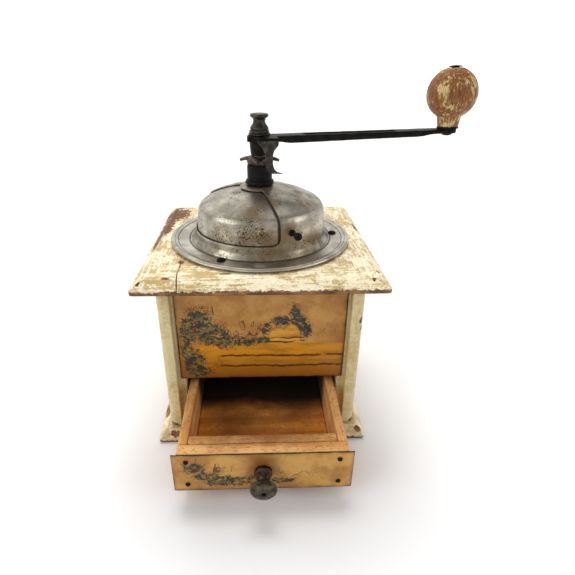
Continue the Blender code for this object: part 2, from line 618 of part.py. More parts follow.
def build_bridge():
    """The iron bridge over the hopper, whose collar carries the shaft."""
    seat = RING_TOP + GAP
    top = TOP_FACE + BRIDGE_RISE
    foot_out = BRIDGE_HALF
    foot_in = BRIDGE_BOLT_CIRCLE - BOLT_HEAD - GAP
    knee = foot_in - BRIDGE_KNEE
    half = [(foot_out, seat), (foot_out, seat + BRIDGE_FOOT), (foot_in, seat + BRIDGE_FOOT), (knee, top)]
    inner = [(knee - BRIDGE_LEG, top - BRIDGE_BAR), (foot_in - BRIDGE_LEG, seat)]
    outline = half + [(-x, z) for x, z in half[::-1]] + [(-x, z) for x, z in inner[::-1]] + inner
    bridge = upright("bridge", outline, -BRIDGE_WIDTH / 2, BRIDGE_WIDTH / 2, CAST_IRON)
    collar = prism("collar_body", polygon(COLLAR_RADIUS, 28), COLLAR_FOOT, COLLAR_END, CAST_IRON)
    combine(bridge, collar, 'UNION')
    bush_out = COLLAR_RADIUS - COLLAR_WALL
    drill(bridge, (0, 0), bush_out, COLLAR_FOOT - MM, COLLAR_END + MM, sides=24)
    for place in upright_hole_places().values():
        drill(bridge, place, BOLT_RADIUS + BOLT_PLAY, seat - MM, seat + BRIDGE_FOOT + MM, sides=12)
    shaft_hole = SHAFT_RADIUS + SHAFT_PLAY
    bush = [(shaft_hole, COLLAR_FOOT), (bush_out - GAP, COLLAR_FOOT), (bush_out - GAP, COLLAR_END),
            (shaft_hole, COLLAR_END)]
    turned("bridge_bush", bush, BRASS, 20)
    seat_ring = DOME_TOP + COLLAR_RING_SEAT
    hole = COLLAR_RADIUS + GAP
    ring = [(hole, seat_ring), (COLLAR_RING, seat_ring), (COLLAR_RING, seat_ring + COLLAR_RING_HEIGHT * 0.4),
            (hole + 0.4 * MM, seat_ring + COLLAR_RING_HEIGHT), (hole, seat_ring + COLLAR_RING_HEIGHT)]
    turned("collar_ring", ring, CAST_IRON, 24)
    build_bolts(seat + BRIDGE_FOOT + GAP)


def build_bolts(seat):
    """The two bolts through the bridge's feet, and their nuts under the ring burr's flange."""
    nut_top = BURR_TOP - BURR_FLANGE_THICK - GAP
    tail = nut_top - NUT_HEIGHT - BOLT_TAIL
    for side, (x, y) in upright_hole_places().items():
        place = Matrix.Translation((x, y, 0))
        bolt = [(0.0, tail), (BOLT_RADIUS, tail), (BOLT_RADIUS, seat), (BOLT_HEAD, seat),
                (BOLT_HEAD, seat + BOLT_HEAD_HEIGHT * 0.7), (BOLT_HEAD * 0.7, seat + BOLT_HEAD_HEIGHT),
                (0.0, seat + BOLT_HEAD_HEIGHT)]
        turned("bridge_bolt_" + side, bolt, STEEL, 16, place)
        nut_low = nut_top - NUT_HEIGHT
        nut = prism("bridge_nut_" + side, polygon(NUT_RADIUS, 6), nut_low, nut_top, STEEL, place)
        drill(nut, (x, y), BOLT_RADIUS + GAP, nut_low - MM, nut_top + MM, sides=12)


def build_burrs():
    flange_low = BURR_TOP - BURR_FLANGE_THICK
    throat = BURR_END + BURR_THROAT
    throat_radius = INNER_BURR_RADIUS + BURR_GAP
    shoulder = BRIDGE_BOLT_CIRCLE - NUT_RADIUS - GAP
    mouth = shoulder - BURR_WALL
    profile = [(mouth, BURR_TOP), (throat_radius + 3.6 * MM, throat + 4.5 * MM), (throat_radius, throat),
               (INNER_BURR_RADIUS + 2.3 * MM, BURR_END), (BURR_BODY, BURR_END),
               (BURR_BODY + MM, throat + 4 * MM), (shoulder, flange_low),
               (BURR_FLANGE, flange_low), (BURR_FLANGE, BURR_TOP)]
    ring = turned("ring_burr", profile, CAST_IRON, 28)
    for place in upright_hole_places().values():
        drill(ring, place, BOLT_RADIUS + BOLT_PLAY, flange_low - MM, BURR_TOP + MM, sides=12)

    low = BURR_END + INNER_BURR_RISE
    high = low + INNER_BURR_LENGTH
    bore_radius = SHAFT_RADIUS + SHAFT_PLAY
    waist = (INNER_BURR_RADIUS + INNER_BURR_TOP) / 2
    profile = [(bore_radius, low), (INNER_BURR_RADIUS, low), (waist, (low + high) / 2),
               (INNER_BURR_TOP, high), (bore_radius, high)]

    def tooth(number, angle):
        cut = (0.0, 0.06, 0.05, 0.04, 0.0)[number]
        return 1.0 + cut * math.cos(INNER_BURR_TEETH * angle + number) - cut

    turned("inner_burr", profile, CAST_IRON, 36, bend=tooth)
    nut_high = low - GAP
    nut_low = nut_high - BURR_NUT_HEIGHT
    nut = prism("burr_nut", polygon(BURR_NUT_RADIUS, 6), nut_low, nut_high, STEEL)
    drill(nut, (0, 0), bore_radius, nut_low - MM, nut_high + MM)
    build_strap()
    build_spring(high + GAP + SPRING_WIRE, COLLAR_FOOT - GAP - SPRING_WIRE)
    return nut_low


def build_strap():
    """The strap under the ring burr that holds the shaft's lower pin."""
    top = BURR_END - GAP
    low = top - STRAP_DROP
    out = BURR_BODY - STRAP_INSET
    leg = out - STRAP_LEG
    outline = [(-out, top), (-out, low), (out, low), (out, top), (leg, top), (leg, low + STRAP_THICK),
               (-leg, low + STRAP_THICK), (-leg, top)]
    strap = upright("lower_bearing_strap", outline, -STRAP_WIDTH / 2, STRAP_WIDTH / 2, CAST_IRON)
    drill(strap, (0, 0), SHAFT_PIN + SHAFT_PLAY, low - MM, low + STRAP_THICK + MM, sides=12)


def build_spring(low, high):
    """The spring that keeps the inner burr down against its stop."""
    shape = bmesh.new()
    coil = SHAFT_RADIUS + 2 * SHAFT_PLAY + SPRING_WIRE + GAP
    per_turn, sides = 12, 5
    rings = []
    for step in range(SPRING_TURNS * per_turn + 1):
        angle = 2 * math.pi * step / per_turn
        height = low + (high - low) * step / (SPRING_TURNS * per_turn)
        out = Vector((math.cos(angle), math.sin(angle), 0.0))
        up = Vector((0.0, 0.0, 1.0))
        middle = out * coil + up * height
        ring = []
        for side in range(sides):
            turn = 2 * math.pi * side / sides
            skin = (out * math.cos(turn) + up * math.sin(turn)) * SPRING_WIRE
            ring.append(shape.verts.new(middle + skin))
        rings.append(ring)
    join_rings(shape, rings, closed=False)
    shape.faces.new(rings[0])
    shape.faces.new(rings[-1])
    add_object("burr_spring", shape, STEEL)


def build_shaft(nut_low):
    """The shaft: pin, round bearing, square for the crank and thread for the spool nut."""
    pin_low = BURR_END - GAP - STRAP_DROP
    pin_high = nut_low
    square_low = HUB_BOTTOM
    square_high = HUB_TOP - GAP
    thread_high = NUT_SEAT + SPOOL_HEIGHT - SHAFT_END
    profile = [(0.0, pin_low), (SHAFT_PIN, pin_low), (SHAFT_PIN, pin_high), (SHAFT_RADIUS, pin_high),
               (SHAFT_RADIUS, square_low), (SHAFT_SQUARE, square_low), (SHAFT_SQUARE, square_high),
               (SHAFT_THREAD, square_high), (SHAFT_THREAD, thread_high), (0.0, thread_high)]

    def squared(number, angle):
        if number not in (5, 6):
            return 1.0
        return 1.0 / max(abs(math.cos(angle)), abs(math.sin(angle)))

    turned("main_shaft", profile, STEEL, 24, bend=squared)


def build_star():
    """The lobed nut on the collar's top that sets the grind."""
    outline = []
    steps = 48
    for i in range(steps):
        angle = 2 * math.pi * i / steps
        swell = 0.5 + 0.5 * math.cos(STAR_LOBES * (angle - STAR_TURN))
        radius = STAR_ROOT + (STAR_TIP - STAR_ROOT) * swell ** 1.4
        outline.append((radius * math.cos(angle), radius * math.sin(angle)))
    star = prism("star_adjuster", outline, STAR_BOTTOM, STAR_TOP, CAST_IRON, smooth=True)
    drill(star, (0, 0), SHAFT_RADIUS + SHAFT_PLAY, STAR_BOTTOM - MM, STAR_TOP + MM, sides=24)


def build_catch():
    """The leaf that hangs from the hub beside the star and holds it by its spring."""
    top = HUB_TOP - CATCH_DROP
    low = top - CATCH_LENGTH
    neck_left, neck_right = CATCH_LEFT + 4.5 * MM, CATCH_RIGHT - 3.4 * MM
    outline = [(CATCH_LEFT, top), (CATCH_LEFT + 2.9 * MM, top - 3.8 * MM), (neck_left, top - 7.6 * MM),
               (neck_left + 0.2 * MM, low + 5.0 * MM), (neck_left + 1.4 * MM, low + 1.6 * MM),
               (neck_left + 3.4 * MM, low), (CATCH_RIGHT + 2.9 * MM, low),
               (CATCH_RIGHT + 2.9 * MM, low + 0.6 * MM), (CATCH_RIGHT - 0.5 * MM, low + 1.1 * MM),
               (neck_right + 0.9 * MM, low + 2.8 * MM), (neck_right, low + 5.7 * MM),
               (neck_right, top - 8.1 * MM), (neck_right + 0.7 * MM, top - 5.4 * MM),
               (CATCH_RIGHT - 0.9 * MM, top - 2.6 * MM), (CATCH_RIGHT, top)]
    back = -STAR_TIP - CATCH_CLEAR
    upright("catch_leaf", outline, back - CATCH_THICK, back, STEEL)


def lofted_arm(name, stations):
    """A bar skinned over stations of (x, half width, top, bottom)."""
    shape = bmesh.new()
    rings = []
    for x, half, top, bottom in stations:
        corners = ((-half, bottom), (half, bottom), (half, top), (-half, top))
        rings.append([shape.verts.new((x, y, z)) for y, z in corners])
    join_rings(shape, rings, closed=False)
    shape.faces.new(rings[0])
    shape.faces.new(rings[-1])
    return add_object(name, shape, CAST_IRON, smooth=False)


def arm_top(x):
    """Height of the arm's upper face."""
    return HUB_TOP + math.tan(ARM_RISE) * max(0.0, x - HUB_RADIUS)


def arm_stations():
    """Sections of the arm from inside the hub to its rounded eye."""
    stations = []
    straight = (0.0, HUB_RADIUS, CHANNEL_START, CHANNEL_END, ARM_REACH - ARM_EYE)
    for x in straight:
        share = x / ARM_REACH
        half = ARM_HUB_HALF + (ARM_END_HALF - ARM_HUB_HALF) * share
        thick = HUB_PLATE + (ARM_END_THICK - HUB_PLATE) * share
        stations.append((x, half, arm_top(x), arm_top(x) - thick))
    for step in range(1, 8):
        angle = math.pi * step / 8
        x = ARM_REACH - ARM_EYE * math.cos(angle)
        half = max(ARM_EYE * math.sin(angle), ARM_END_HALF if step < 4 else 0.0)
        stations.append((x, half, arm_top(x), arm_top(x) - ARM_END_THICK))
    return stations


def build_crank():
    arm = lofted_arm("crank_arm", arm_stations())
    plate = prism("hub_plate", polygon(HUB_RADIUS, 24), HUB_TOP - HUB_PLATE, HUB_TOP, CAST_IRON)
    boss = prism("hub_boss", polygon(HUB_BOSS, 24), HUB_BOTTOM, HUB_TOP - 0.5 * MM, CAST_IRON)
    lug = block("hub_lug", (CATCH_LEFT, CATCH_RIGHT), (-STAR_TIP, -1.0 * MM),
                (HUB_TOP - HUB_PLATE + 0.1 * MM, HUB_TOP - 0.1 * MM), CAST_IRON)
    for piece in (plate, boss, lug):
        combine(arm, piece, 'UNION')
    hole = SHAFT_SQUARE + GAP
    square = block("hub_square", (-hole, hole), (-hole, hole), (HUB_BOTTOM - MM, HUB_TOP + MM), CAST_IRON)
    combine(arm, square, 'DIFFERENCE')
    channel = []
    for x in (CHANNEL_START, (CHANNEL_START + CHANNEL_END) / 2, CHANNEL_END):
        half = ARM_HUB_HALF + (ARM_END_HALF - ARM_HUB_HALF) * x / ARM_REACH - CHANNEL_RIM
        channel.append((x, half, arm_top(x) + MM, arm_top(x) - CHANNEL_DEPTH))
    combine(arm, lofted_arm("arm_channel", channel), 'DIFFERENCE')
    bore(arm, crank_end_place(), PIN_RADIUS + GAP, -5 * MM, 3 * MM)

    washer_low = HUB_TOP + GAP
    washer_high = washer_low + WASHER_THICK
    inner, outer = SHAFT_THREAD + GAP, SPOOL_BASE + 0.6 * MM
    washer = [(inner, washer_low), (outer, washer_low), (outer, washer_high), (inner, washer_high)]
    turned("hub_washer", washer, STEEL, 24)
    build_spool_nut()


def build_spool_nut():
    """The waisted thumb nut that holds the crank on the shaft."""
    low = NUT_SEAT
    high = low + SPOOL_HEIGHT
    bore_radius = SHAFT_THREAD + GAP
    roof = high - SPOOL_ROOF
    profile = [(0.0, roof), (bore_radius, roof), (bore_radius, low), (SPOOL_BASE, low),
               (SPOOL_BASE, low + 1.4 * MM), (SPOOL_BASE - 0.9 * MM, low + 1.8 * MM),
               (SPOOL_BASE - 0.5 * MM, low + 2.6 * MM), (SPOOL_NECK + 0.5 * MM, low + 5.0 * MM),
               (SPOOL_NECK, low + 6.4 * MM), (SPOOL_NECK + 0.3 * MM, low + 7.6 * MM),
               (SPOOL_TOP, high - 1.4 * MM), (SPOOL_TOP, high - 0.5 * MM),
               (SPOOL_TOP - 0.6 * MM, high), (0.0, high)]
    turned("spool_nut", profile, STEEL, 18)


def crank_end_place():
    """The handle's axis: at the arm's end, square to the arm."""
    return Matrix.Translation(ARM_END) @ Matrix.Rotation(-ARM_RISE, 4, 'Y')


def build_handle():
    place = crank_end_place()
    washer_low = GAP
    washer_high = washer_low + WASHER_THICK
    bore_radius = PIN_RADIUS + GAP
    washer = [(bore_radius, washer_low), (HANDLE_WASHER, washer_low), (HANDLE_WASHER, washer_high),
              (bore_radius, washer_high)]
    turned("handle_washer", washer, CAST_IRON, 24, place)

    neck_low = washer_high + GAP
    neck_high = neck_low + BALL_NECK_HEIGHT
    neck_top = BALL_NECK + 1.0 * MM
    seat = PIN_HEAD + GAP
    centre = neck_high + math.sqrt(BALL_RADIUS ** 2 - neck_top ** 2)
    first = -math.acos(neck_top / BALL_RADIUS)
    last = math.acos(seat / BALL_RADIUS)
    ball = arc((0.0, centre), BALL_RADIUS, first, last, 10)
    cap_seat = ball[-1][1]
    neck = [(bore_radius, neck_low), (BALL_NECK, neck_low), (BALL_NECK + 0.7 * MM, neck_low + 4.5 * MM)]
    profile = neck + ball + [(bore_radius, cap_seat)]
    turned("ball_handle", profile, KNOB_PAINT, 24, place)

    tail = -ARM_END_THICK - GAP
    pin = [(0.0, tail - 1.0 * MM), (PIN_FOOT * 0.8, tail - 1.0 * MM), (PIN_FOOT, tail), (PIN_RADIUS, tail),
           (PIN_RADIUS, cap_seat + GAP), (PIN_HEAD, cap_seat + GAP), (PIN_HEAD * 0.85, cap_seat + 0.9 * MM),
           (0.0, cap_seat + 1.1 * MM)]
    turned("handle_pin", pin, CAST_IRON, 20, place)


def main():
    clear_scene()
    build_boards()
    build_case()
    build_drawer()
    build_flange_ring()
    build_dome()
    build_bridge()
    nut_low = build_burrs()
    build_shaft(nut_low)
    build_star()
    build_catch()
    build_crank()
    build_handle()


main()
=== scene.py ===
"""Hand crank coffee grinder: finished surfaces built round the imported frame.

A wooden box mill with a sheet steel hopper, an iron crank and a drawer. Lengths are in metres,
the drawer faces -Y and the crank points to +X. Places come from the frame's own boxes.
"""

import json
import logging
import math
from collections.abc import Callable, Mapping, Sequence
from dataclasses import dataclass, field
from enum import Enum
from typing import Any

import bmesh
import bpy
from mathutils import Matrix, Vector, noise


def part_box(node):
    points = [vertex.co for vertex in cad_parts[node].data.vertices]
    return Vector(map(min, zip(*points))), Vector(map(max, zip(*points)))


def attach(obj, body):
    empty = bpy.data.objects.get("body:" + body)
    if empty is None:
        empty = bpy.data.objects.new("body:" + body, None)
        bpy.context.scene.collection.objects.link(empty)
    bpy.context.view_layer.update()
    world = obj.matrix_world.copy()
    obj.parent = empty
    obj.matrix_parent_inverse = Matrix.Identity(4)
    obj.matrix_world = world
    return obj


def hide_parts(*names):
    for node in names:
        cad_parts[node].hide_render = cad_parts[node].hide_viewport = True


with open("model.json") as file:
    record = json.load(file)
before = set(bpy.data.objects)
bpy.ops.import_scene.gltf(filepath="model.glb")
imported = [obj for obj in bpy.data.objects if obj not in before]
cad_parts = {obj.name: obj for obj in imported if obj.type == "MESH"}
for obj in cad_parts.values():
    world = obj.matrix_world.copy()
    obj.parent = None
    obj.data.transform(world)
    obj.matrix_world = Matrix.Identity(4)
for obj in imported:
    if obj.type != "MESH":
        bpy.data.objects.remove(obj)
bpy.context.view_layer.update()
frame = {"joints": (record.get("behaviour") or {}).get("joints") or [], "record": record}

noise.seed_set(1)              # vector noise takes its offsets from the clock unless seeded

LOG = logging.getLogger("grinder")
MM = 0.001
AIR = 0.3 * MM                 # left between pieces that touch
BODY_OF = {node: body for body, nodes in frame["record"]["behaviour"]["bodies"].items() for node in nodes}

Point = tuple[float, float]
Colour = tuple[float, float, float, float]
Shape = bmesh.types.BMesh
Object = bpy.types.Object
Socket = bpy.types.NodeSocket


# ---------------------------------------------------------------- small tools

def linear(code: str) -> Colour:
    """Turn a colour from sRGB to linear light.

    Args:
        code: The colour as six hex digits, with or without a hash.

    Returns:
        Red, green, blue and an alpha of one.
    """
    parts = [int(code.lstrip("#")[i:i + 2], 16) / 255 for i in (0, 2, 4)]
    red, green, blue = (c / 12.92 if c <= 0.04045 else ((c + 0.055) / 1.055) ** 2.4 for c in parts)
    return red, green, blue, 1.0


def per_metre(millimetres: float) -> float:
    """Texture scale whose features are about this many millimetres across."""
    return 1.0 / (millimetres * MM)


def eased(value: float) -> float:
    """Smooth step of a value held between 0 and 1."""
    held = min(1.0, max(0.0, value))
    return held * held * (3.0 - 2.0 * held)


class Axis(Enum):
    """A direction of the frame, as a unit vector."""

    X = (1.0, 0.0, 0.0)
    Y = (0.0, 1.0, 0.0)
    Z = (0.0, 0.0, 1.0)

    def along(self, run: float, across: float) -> tuple[float, float, float]:
        """A scale of run along the axis and across on the other two."""
        return tuple(run if part else across for part in self.value)


@dataclass(frozen=True)
class Space:
    """The room that a CAD node takes up.

    Attributes:
        low: Lowest corner.
        high: Highest corner.
    """

    low: Vector
    high: Vector

    @classmethod
    def of(cls, node: str) -> "Space":
        """The room of a named node."""
        return cls(*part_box(node))

    @property
    def centre(self) -> Vector:
        """The middle of the room."""
        return (self.low + self.high) / 2

    @property
    def size(self) -> Vector:
        """Width, depth and height."""
        return self.high - self.low

    def hold(self, point: Vector) -> Vector:
        """The nearest point that is inside the room."""
        return Vector(min(max(c, a), b) for c, a, b in zip(point, self.low, self.high))


# ---------------------------------------------------------------- meshes

def new_object(name: str, shape: Shape, sharp: float = 42.0) -> Object:
    """Turn a bmesh into a smooth shaded object whose faces point outwards.

    Args:
        name: The piece's name.
        shape: The mesh, which is freed.
        sharp: Edges steeper than this many degrees stay sharp.

    Returns:
        The linked object.
    """
    bmesh.ops.recalc_face_normals(shape, faces=shape.faces)
    mesh = bpy.data.meshes.new(name)
    shape.to_mesh(mesh)
    shape.free()
    mesh.shade_smooth()
    mesh.set_sharp_from_angle(angle=math.radians(sharp))
    item = bpy.data.objects.new(name, mesh)
    bpy.context.collection.objects.link(item)
    return item


def modify(item: Object, kind: str, **settings: Any) -> Object:
    """Add a modifier with these settings and return the object."""
    step = item.modifiers.new(kind.lower(), kind)
    for key, value in settings.items():
        setattr(step, key, value)
    return item


def freeze(item: Object, sharp: float = 42.0) -> Object:
    """Turn the object's modifiers into plain mesh."""
    graph = bpy.context.evaluated_depsgraph_get()
    graph.update()
    mesh = bpy.data.meshes.new_from_object(item.evaluated_get(graph))
    item.modifiers.clear()
    old, item.data = item.data, mesh
    bpy.data.meshes.remove(old)
    mesh.shade_smooth()
    mesh.set_sharp_from_angle(angle=math.radians(sharp))
    return item


def discard(item: Object) -> None:
    """Remove a helper object and its mesh."""
    mesh = item.data
    bpy.data.objects.remove(item)
    bpy.data.meshes.remove(mesh)


def carve(item: Object, tool: Object, operation: str = 'DIFFERENCE') -> Object:
    """Cut a helper object out of a piece, or add it, and remove the helper.

    Args:
        item: The piece.
        tool: The helper, a closed mesh.
        operation: The Boolean's operation.

    Returns:
        The piece, with the cut in its mesh.
    """
    modify(item, 'BOOLEAN', object=tool, operation=operation, solver='MANIFOLD')
    freeze(item)
    discard(tool)
    return item


def soften(item: Object, width: float, segments: int = 2, angle: float = 35.0) -> Object:
    """Round the edges that are steeper than angle, in degrees, over width."""
    modify(item, 'BEVEL', width=width, segments=segments, limit_method='ANGLE',
           angle_limit=math.radians(angle), harden_normals=False, use_clamp_overlap=True)
    return freeze(item)


def fuse(name: str, parts: Sequence[Object], voxel: float, smooth: int = 4) -> Object:
    """Cast several overlapping solids into one with soft edges.

    Args:
        name: The new piece's name.
        parts: Closed solids, which are used up.
        voxel: Grid size of the remeshing.
        smooth: Rounds of smoothing.

    Returns:
        The one closed piece.
    """
    shape = bmesh.new()
    for part in parts:
        shape.from_mesh(part.data)
        discard(part)
    item = new_object(name, shape)
    modify(item, 'REMESH', mode='VOXEL', voxel_size=voxel, use_smooth_shade=True)
    modify(item, 'SMOOTH', factor=0.5, iterations=smooth)
    return freeze(item, 60.0)


def join_rings(shape: Shape, rings: Sequence[Sequence[Any]], closed: bool) -> None:
    """Skin a list of vertex rings; a ring of one vertex closes to a point."""
    pairs = list(zip(rings, rings[1:]))
    if closed:
        pairs.append((rings[-1], rings[0]))
    for lower, upper in pairs:
        for i in range(max(len(lower), len(upper))):
            j = i + 1
            corners = [lower[i % len(lower)], lower[j % len(lower)]]
            corners += [upper[j % len(upper)], upper[i % len(upper)]]
            shape.faces.new([c for k, c in enumerate(corners) if c not in corners[:k]])


def filleted(points: Sequence[tuple[float, ...]], steps: int = 4) -> list[Point]:
    """Round the corners of an open outline.

    Args:
        points: Pairs, or triples whose third number is the corner's radius.
        steps: Segments in each rounded corner.

    Returns:
        The outline as pairs.
    """
    result: list[Point] = []
    for number, point in enumerate(points):
        corner = Vector(point[:2])
        radius = point[2] if len(point) > 2 else 0.0
        if radius == 0.0 or number in (0, len(points) - 1):
            result.append(tuple(corner))
            continue
        back, ahead = (Vector(points[number + k][:2]) - corner for k in (-1, 1))
        reach = radius / math.tan(back.angle(ahead) / 2)
        start = corner + back.normalized() * min(reach, back.length * 0.49)
        end = corner + ahead.normalized() * min(reach, ahead.length * 0.49)
        for k in range(steps + 1):
            t = k / steps
            result.append(tuple(start * (1 - t) ** 2 + corner * 2 * t * (1 - t) + end * t ** 2))
    return result


def turned(name: str, profile: Sequence[Point], segments: int = 72, place: Matrix | None = None,
           bend: Callable[[float, float, float], float] | None = None) -> Object:
    """Turn a profile of (radius, height) about the local Z axis.

    Args:
        name: The piece's name.
        profile: Open from axis to axis, or a loop that stays off the axis.
        segments: Steps round the axis.
        place: Where the local axes stand; the frame's own if left out.
        bend: Scales the radius from (radius, height, angle).

    Returns:
        The closed solid.
    """
    shape = bmesh.new()
    rings = []
    place = place or Matrix()
    for radius, height in profile:
        if radius <= 0.0:
            rings.append([shape.verts.new(place @ Vector((0.0, 0.0, height)))])
            continue
        ring = []
        for step in range(segments):
            angle = math.tau * step / segments
            reach = radius * (bend(radius, height, angle) if bend else 1.0)
            ring.append(shape.verts.new(place @ Vector((reach * math.cos(angle), reach * math.sin(angle),
                                                        height))))
        rings.append(ring)
    join_rings(shape, rings, closed=profile[0][0] > 0.0)
    return new_object(name, shape)


def prism(name: str, outline: Sequence[Point], low: float, high: float, place: Matrix | None = None,
          layers: int = 1) -> Object:
    """Extrude an outline of (x, y) from low to high along the local Z axis."""
    shape = bmesh.new()
    place = place or Matrix()
    heights = [low + (high - low) * i / layers for i in range(layers + 1)]
    rings = [[shape.verts.new(place @ Vector((x, y, z))) for x, y in outline] for z in heights]
    join_rings(shape, rings, closed=False)
    shape.faces.new(rings[0])
    shape.faces.new(rings[-1])
    return new_object(name, shape)


def arc(centre: Point, radius: float, start: float, end: float, steps: int) -> list[Point]:
    """Points along an arc, angles in degrees."""
    turns = [math.radians(start + (end - start) * i / steps) for i in range(steps + 1)]
    return [(centre[0] + radius * math.cos(a), centre[1] + radius * math.sin(a)) for a in turns]


def polygon(radius: float, corners: int, turn: float = 0.0) -> list[Point]:
    """Corners of a regular polygon, turned by this many degrees."""
    return arc((0.0, 0.0), radius, turn, turn + 360.0 * (corners - 1) / corners, corners - 1)


def facing(node_axis: Axis, centre: Vector) -> Matrix:
    """A place whose local Z points along +X, along -Y or up."""
    turns = {Axis.X: Matrix.Rotation(math.radians(90), 4, 'Y'),
             Axis.Y: Matrix.Rotation(math.radians(90), 4, 'X'), Axis.Z: Matrix()}
    return Matrix.Translation(centre) @ turns[node_axis]


UPRIGHT = Matrix(((1, 0, 0, 0), (0, 0, -1, 0), (0, 1, 0, 0), (0, 0, 0, 1)))   # outline (x, z), depth along -Y


def lines(low: float, high: float, edge: float, pitch: float) -> list[float]:
    """Grid lines from low to high, four across each rounded edge and the rest about a pitch apart."""
    shares = (0.0, 0.3, 0.65, 1.0)
    inner_low, inner_high = low + edge, high - edge
    count = max(1, round((inner_high - inner_low) / pitch))
    middle = [inner_low + (inner_high - inner_low) * i / count for i in range(1, count)]
    return [low + edge * s for s in shares] + middle + [high - edge * s for s in reversed(shares)]


def grid_box(name: str, grid: tuple[Sequence[float], ...], form: Callable[[Vector], Vector]) -> Object:
    """A box of quads over three lists of grid lines, each vertex moved by form.

    Args:
        name: The piece's name.
        grid: Grid lines along X, Y and Z.
        form: Gives a vertex's final place from its place on the box.

    Returns:
        The closed piece.
    """
    shape = bmesh.new()
    made: dict[tuple[int, ...], Any] = {}

    def corner(key: tuple[int, ...]) -> Any:
        """The vertex at a place on the grid, made once."""
        if key not in made:
            made[key] = shape.verts.new(form(Vector(grid[k][key[k]] for k in range(3))))
        return made[key]

    for flat in range(3):
        first, second = (k for k in range(3) if k != flat)
        for side in (0, len(grid[flat]) - 1):
            for i in range(len(grid[first]) - 1):
                for j in range(len(grid[second]) - 1):
                    quad = []
                    for a, b in ((0, 0), (1, 0), (1, 1), (0, 1)):
                        key = [0, 0, 0]
                        key[flat], key[first], key[second] = side, i + a, j + b
                        quad.append(corner(tuple(key)))
                    shape.faces.new(quad)
    return new_object(name, shape)


def board(name: str, space: Space, edge: float = 0.5 * MM, pitch: float = 4 * MM, uneven: float = 0.1 * MM,
          bend: Callable[[Vector], Vector] | None = None) -> Object:
    """A board with rounded edges whose faces are slightly uneven, inside its room.

    Args:
        name: The piece's name.
        space: The room it fills.
        edge: Radius of its edges.
        pitch: Size of its quads.
        uneven: How far its faces wander.
        bend: Moves a finished point, such as for a curled rim.

    Returns:
        The closed piece.
    """
    radius = min(edge, min(space.size) * 0.45)
    core = Space(space.low + Vector((radius,) * 3), space.high - Vector((radius,) * 3))
    grid = tuple(lines(space.low[k], space.high[k], radius, pitch) for k in range(3))

    def form(point: Vector) -> Vector:
        """Where a point of the plain grid goes."""
        heart = core.hold(point)
        out = point - heart
        rounded = heart + out.normalized() * radius
        rounded += noise.noise_vector(rounded * per_metre(17)) * uneven
        rounded = space.hold(rounded)
        return bend(rounded) if bend else rounded

    return grid_box(name, grid, form)


# ---------------------------------------------------------------- finishes

